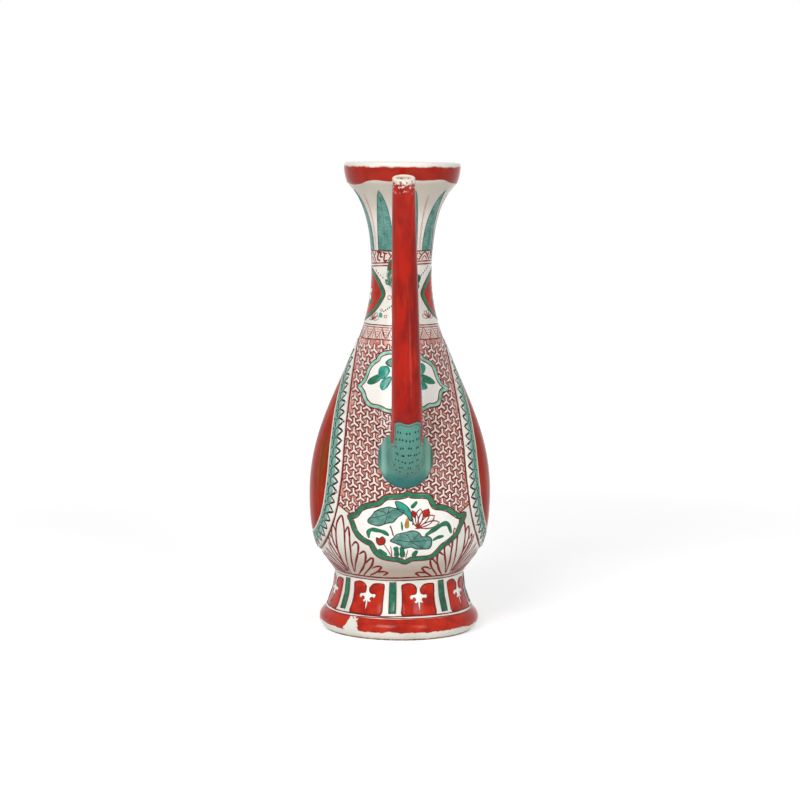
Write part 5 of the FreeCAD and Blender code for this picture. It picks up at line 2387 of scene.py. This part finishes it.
def panelMotif():
    c = panelEdge
    tooth, scale, dot = (Enamel() for _ in range(3))
    for line, look in c["teeth"]:
        tooth.stroke(line, surface=flatPlace, **look)
    outline = counterClockwise(eased(c["scale"], closed=True))
    flat, faces, distance = filled(outline, c["scaleGrain"])
    top, bottom = (flatPlace(*flat.T, lift) for lift in (c["scaleLift"], -0.1))
    points, faces = standingShell(top, bottom, faces, len(outline))
    scale.take(points, faces, np.tile(distance, 2))
    (x, y), turn = c["dotAt"], circle(8)
    rings = [flatPlace(x + wide * np.cos(turn), y + tall * np.sin(turn), z) for wide, tall, z in c["dotRings"]]
    dot.take(np.concatenate(rings), gridFaces(2, 8) + endFaces(2, 8), np.zeros(16))
    return {"Tooth": (tooth, blackLine), "Scale": (scale, scaleGreen), "Dot": (dot, blackLine)}


def closedTrack(name, places):
    count = len(places)
    mesh = bpy.data.meshes.new(name)
    mesh.from_pydata([tuple(p * mm) for p in places], [(i, (i + 1) % count) for i in range(count)], [])
    return sparePiece(newObject(name, mesh))


def paintPanels():
    c = panelEdge
    parts = panelMotif()
    rim = onSide(leafRim)[::3]
    path = insetPath(rim, c["inset"])
    mirrored = rim[::-1] * (-1, 1), path[::-1] * (-1, 1, 1)
    for label, panel, line, places in (("Right", rightPanel, rim, path), ("Left", leftPanel, *mirrored)):
        darkLine.stroke(offsetLine(line, c["lineInset"]), **c["line"])
        settings = {"Path": closedTrack("rimPath" + label, places), "Surface": panel, "Count": c["count"]}
        settings.update(Shake=c["shake"], Seed=c["seed"])
        for name, (motif, dress) in parts.items():
            shape = motifPiece(motif, "panel" + name + label + "Motif")
            rimRepeat.grow("panel" + name + label, emptyHost, dress, Motif=shape, **settings)


paintPanels()
print("panels painted")

# dots and outlines on the turquoise cloth of the spout

clothMarks = {
    "rows": ((39.0, 6), (35.0, 8), (30.6, 7), (26.4, 9), (22.0, 8), (17.8, 7), (14.0, 5)),    # run, count
    "spread": 50.0,
    "dot": dict(wide=0.6, tall=0.8),
    "edge": dict(width=0.75, lift=0.12),
    "inner": dict(width=0.4, lift=0.1),
}


def onCloth(around, run, lift=0.0):
    around, run, lift = np.broadcast_arrays(around, run, lift)
    shares = np.interp(run, spoutRun, spoutShares)
    flat = [onSpout(*place) for place in zip(shares.ravel(), around.ravel(), lift.ravel())]
    return np.array(flat).reshape(around.shape + (3,))


def spoutDot(enamel, around, run, wide, tall, lift=0.1, count=7):
    turn = circle(count)
    reach = spoutRadius(np.interp(run, spoutRun, spoutShares))
    rings = [
        onCloth(around + share * wide * np.cos(turn) / reach, run + share * tall * np.sin(turn), height)
        for share, height in ((1.0, -0.05), (0.6, lift))
    ]
    enamel.take(np.concatenate(rings), gridFaces(2, count) + endFaces(2, count), np.zeros(2 * count))


def paintCloth():
    c = bibShape
    half = math.radians(c["halfAngle"])
    spread = math.radians(clothMarks["spread"])
    for run, count in clothMarks["rows"]:
        for k in range(count):
            around = spread * (2 * (k + 0.5) / count - 1) + 0.06 * math.sin(run + 3 * k)
            spoutDot(blackLine, around, run + 0.3 * math.sin(5 * k + run), **clothMarks["dot"])
    first, second = c["humps"]
    turns = half * np.array((0.97, 0.85, 0.7, 0.5, 0.3, 0.0))
    crest = c["topRun"] + first * np.sin(turns) ** 2 - second * np.sin(turns) ** 4
    step = c["stepRun"]
    side = [(half * 1.7, step - 3.0), (half * 1.25, step - 0.4), (half, step + 1.6), (half, c["topRun"] - 5.0)]
    rows = np.concatenate([side, pairs(turns, crest)])
    line = eased(np.concatenate([rows, rows[-2::-1] * (-1, 1)]))
    darkLine.stroke(line, surface=onCloth, **clothMarks["edge"])
    darkLine.stroke(line * (0.86, 1.0) + (0.0, -1.5), surface=onCloth, **clothMarks["inner"])


paintCloth()
print("spout painted")


for enamel in enamels:
    enamel.make()
for piece in spare:
    bpy.data.objects.remove(piece)
print("enamels made")


# floor, backdrop and lights

studio = {
    "floorSize": 14.0,        # metres
    "floorTone": (0.9, 0.9, 0.9, 1.0),
    "fadeFrom": 0.45,         # the floor turns plain white between these distances, in metres
    "fadeTo": 1.6,
    "shadowShare": 0.72,      # how much of the floor's own shading shows
    "floorGlow": 1.9,         # close to the object, where its shading shows through
    "worldStrength": 0.36,
    "lamps": {
        "keyBox": {"place": (-0.7, -1.4, 1.15), "size": (0.7, 0.9), "power": 20.0, "aim": (0, 0, 0.16)},
        "fillBox": {"place": (0.85, -1.45, 0.85), "size": (0.4, 1.0), "power": 8.0, "aim": (0, 0, 0.16)},
        "topBox": {"place": (-0.2, 0.3, 1.9), "size": (1.4, 1.4), "power": 5.0, "aim": (0, 0, 0.1)},
    },
}
plainWhite = (1.0, 1.0, 1.0, 1.0)


def floorMaterial(c):
    # white where the camera sees it, with the object's shadow kept
    paint = Paint("studioFloor")
    diffuse = paint.node("ShaderNodeBsdfDiffuse", None, {"Color": c["floorTone"]})
    x, y, z = paint.axes()
    far = paint.length(x, y).rise(c["fadeFrom"] / mm, c["fadeTo"] / mm)
    near = (c["floorGlow"],) * 3 + (1.0,)
    plain = paint.node("ShaderNodeEmission", None, {"Color": paint.mix(far, near, plainWhite), "Strength": 1.0})
    rays = paint.node("ShaderNodeLightPath").outputs
    seen = Wire(paint, rays["Is Camera Ray"]).most(rays["Is Glossy Ray"]).most(rays["Is Transmission Ray"])
    share = seen * (1 - c["shadowShare"] * (1 - far))
    shader = paint.node("ShaderNodeMixShader", None, {0: share, 1: diffuse.outputs[0], 2: plain.outputs[0]})
    paint.node("ShaderNodeOutputMaterial", None, {"Surface": shader.outputs[0]})
    return paint.material


def makeFloor(c):
    half = c["floorSize"] / 2
    mesh = bpy.data.meshes.new("studioFloor")
    mesh.from_pydata([(-half, -half, 0), (half, -half, 0), (half, half, 0), (-half, half, 0)], [], [(0, 1, 2, 3)])
    mesh.materials.append(floorMaterial(c))
    newObject("studioFloor", mesh)


def makeWorld(c):
    # soft light, and plain white where it is seen or mirrored
    world = bpy.data.worlds.new("softStudio")
    world.use_nodes = True
    tree = world.node_tree
    tree.nodes.clear()
    light = addNode(tree, "ShaderNodeBackground", None, {"Color": plainWhite, "Strength": c["worldStrength"]})
    plain = addNode(tree, "ShaderNodeBackground", None, {"Color": plainWhite})
    rays = addNode(tree, "ShaderNodeLightPath").outputs
    seen = rays["Is Camera Ray"]
    for kind in ("Is Glossy Ray", "Is Transmission Ray"):
        seen = addNode(tree, "ShaderNodeMath", {"operation": "MAXIMUM"}, {0: seen, 1: rays[kind]}).outputs[0]
    pick = addNode(tree, "ShaderNodeMixShader", None, {0: seen, 1: light.outputs[0], 2: plain.outputs[0]})
    addNode(tree, "ShaderNodeOutputWorld", None, {0: pick.outputs[0]})
    scene.world = world


def makeLamp(name, c):
    data = bpy.data.lights.new(name, "AREA")
    data.shape = "RECTANGLE"
    data.size, data.size_y = c["size"]
    data.energy = c["power"]
    lamp = newObject(name, data)
    lamp.location = Vector(c["place"])
    lamp.rotation_euler = (Vector(c["aim"]) - lamp.location).to_track_quat("-Z", "Y").to_euler()


makeFloor(studio)
makeWorld(studio)
for name, lamp in studio["lamps"].items():
    makeLamp(name, lamp)
scene.view_settings.view_transform = "Standard"
print("studio made")
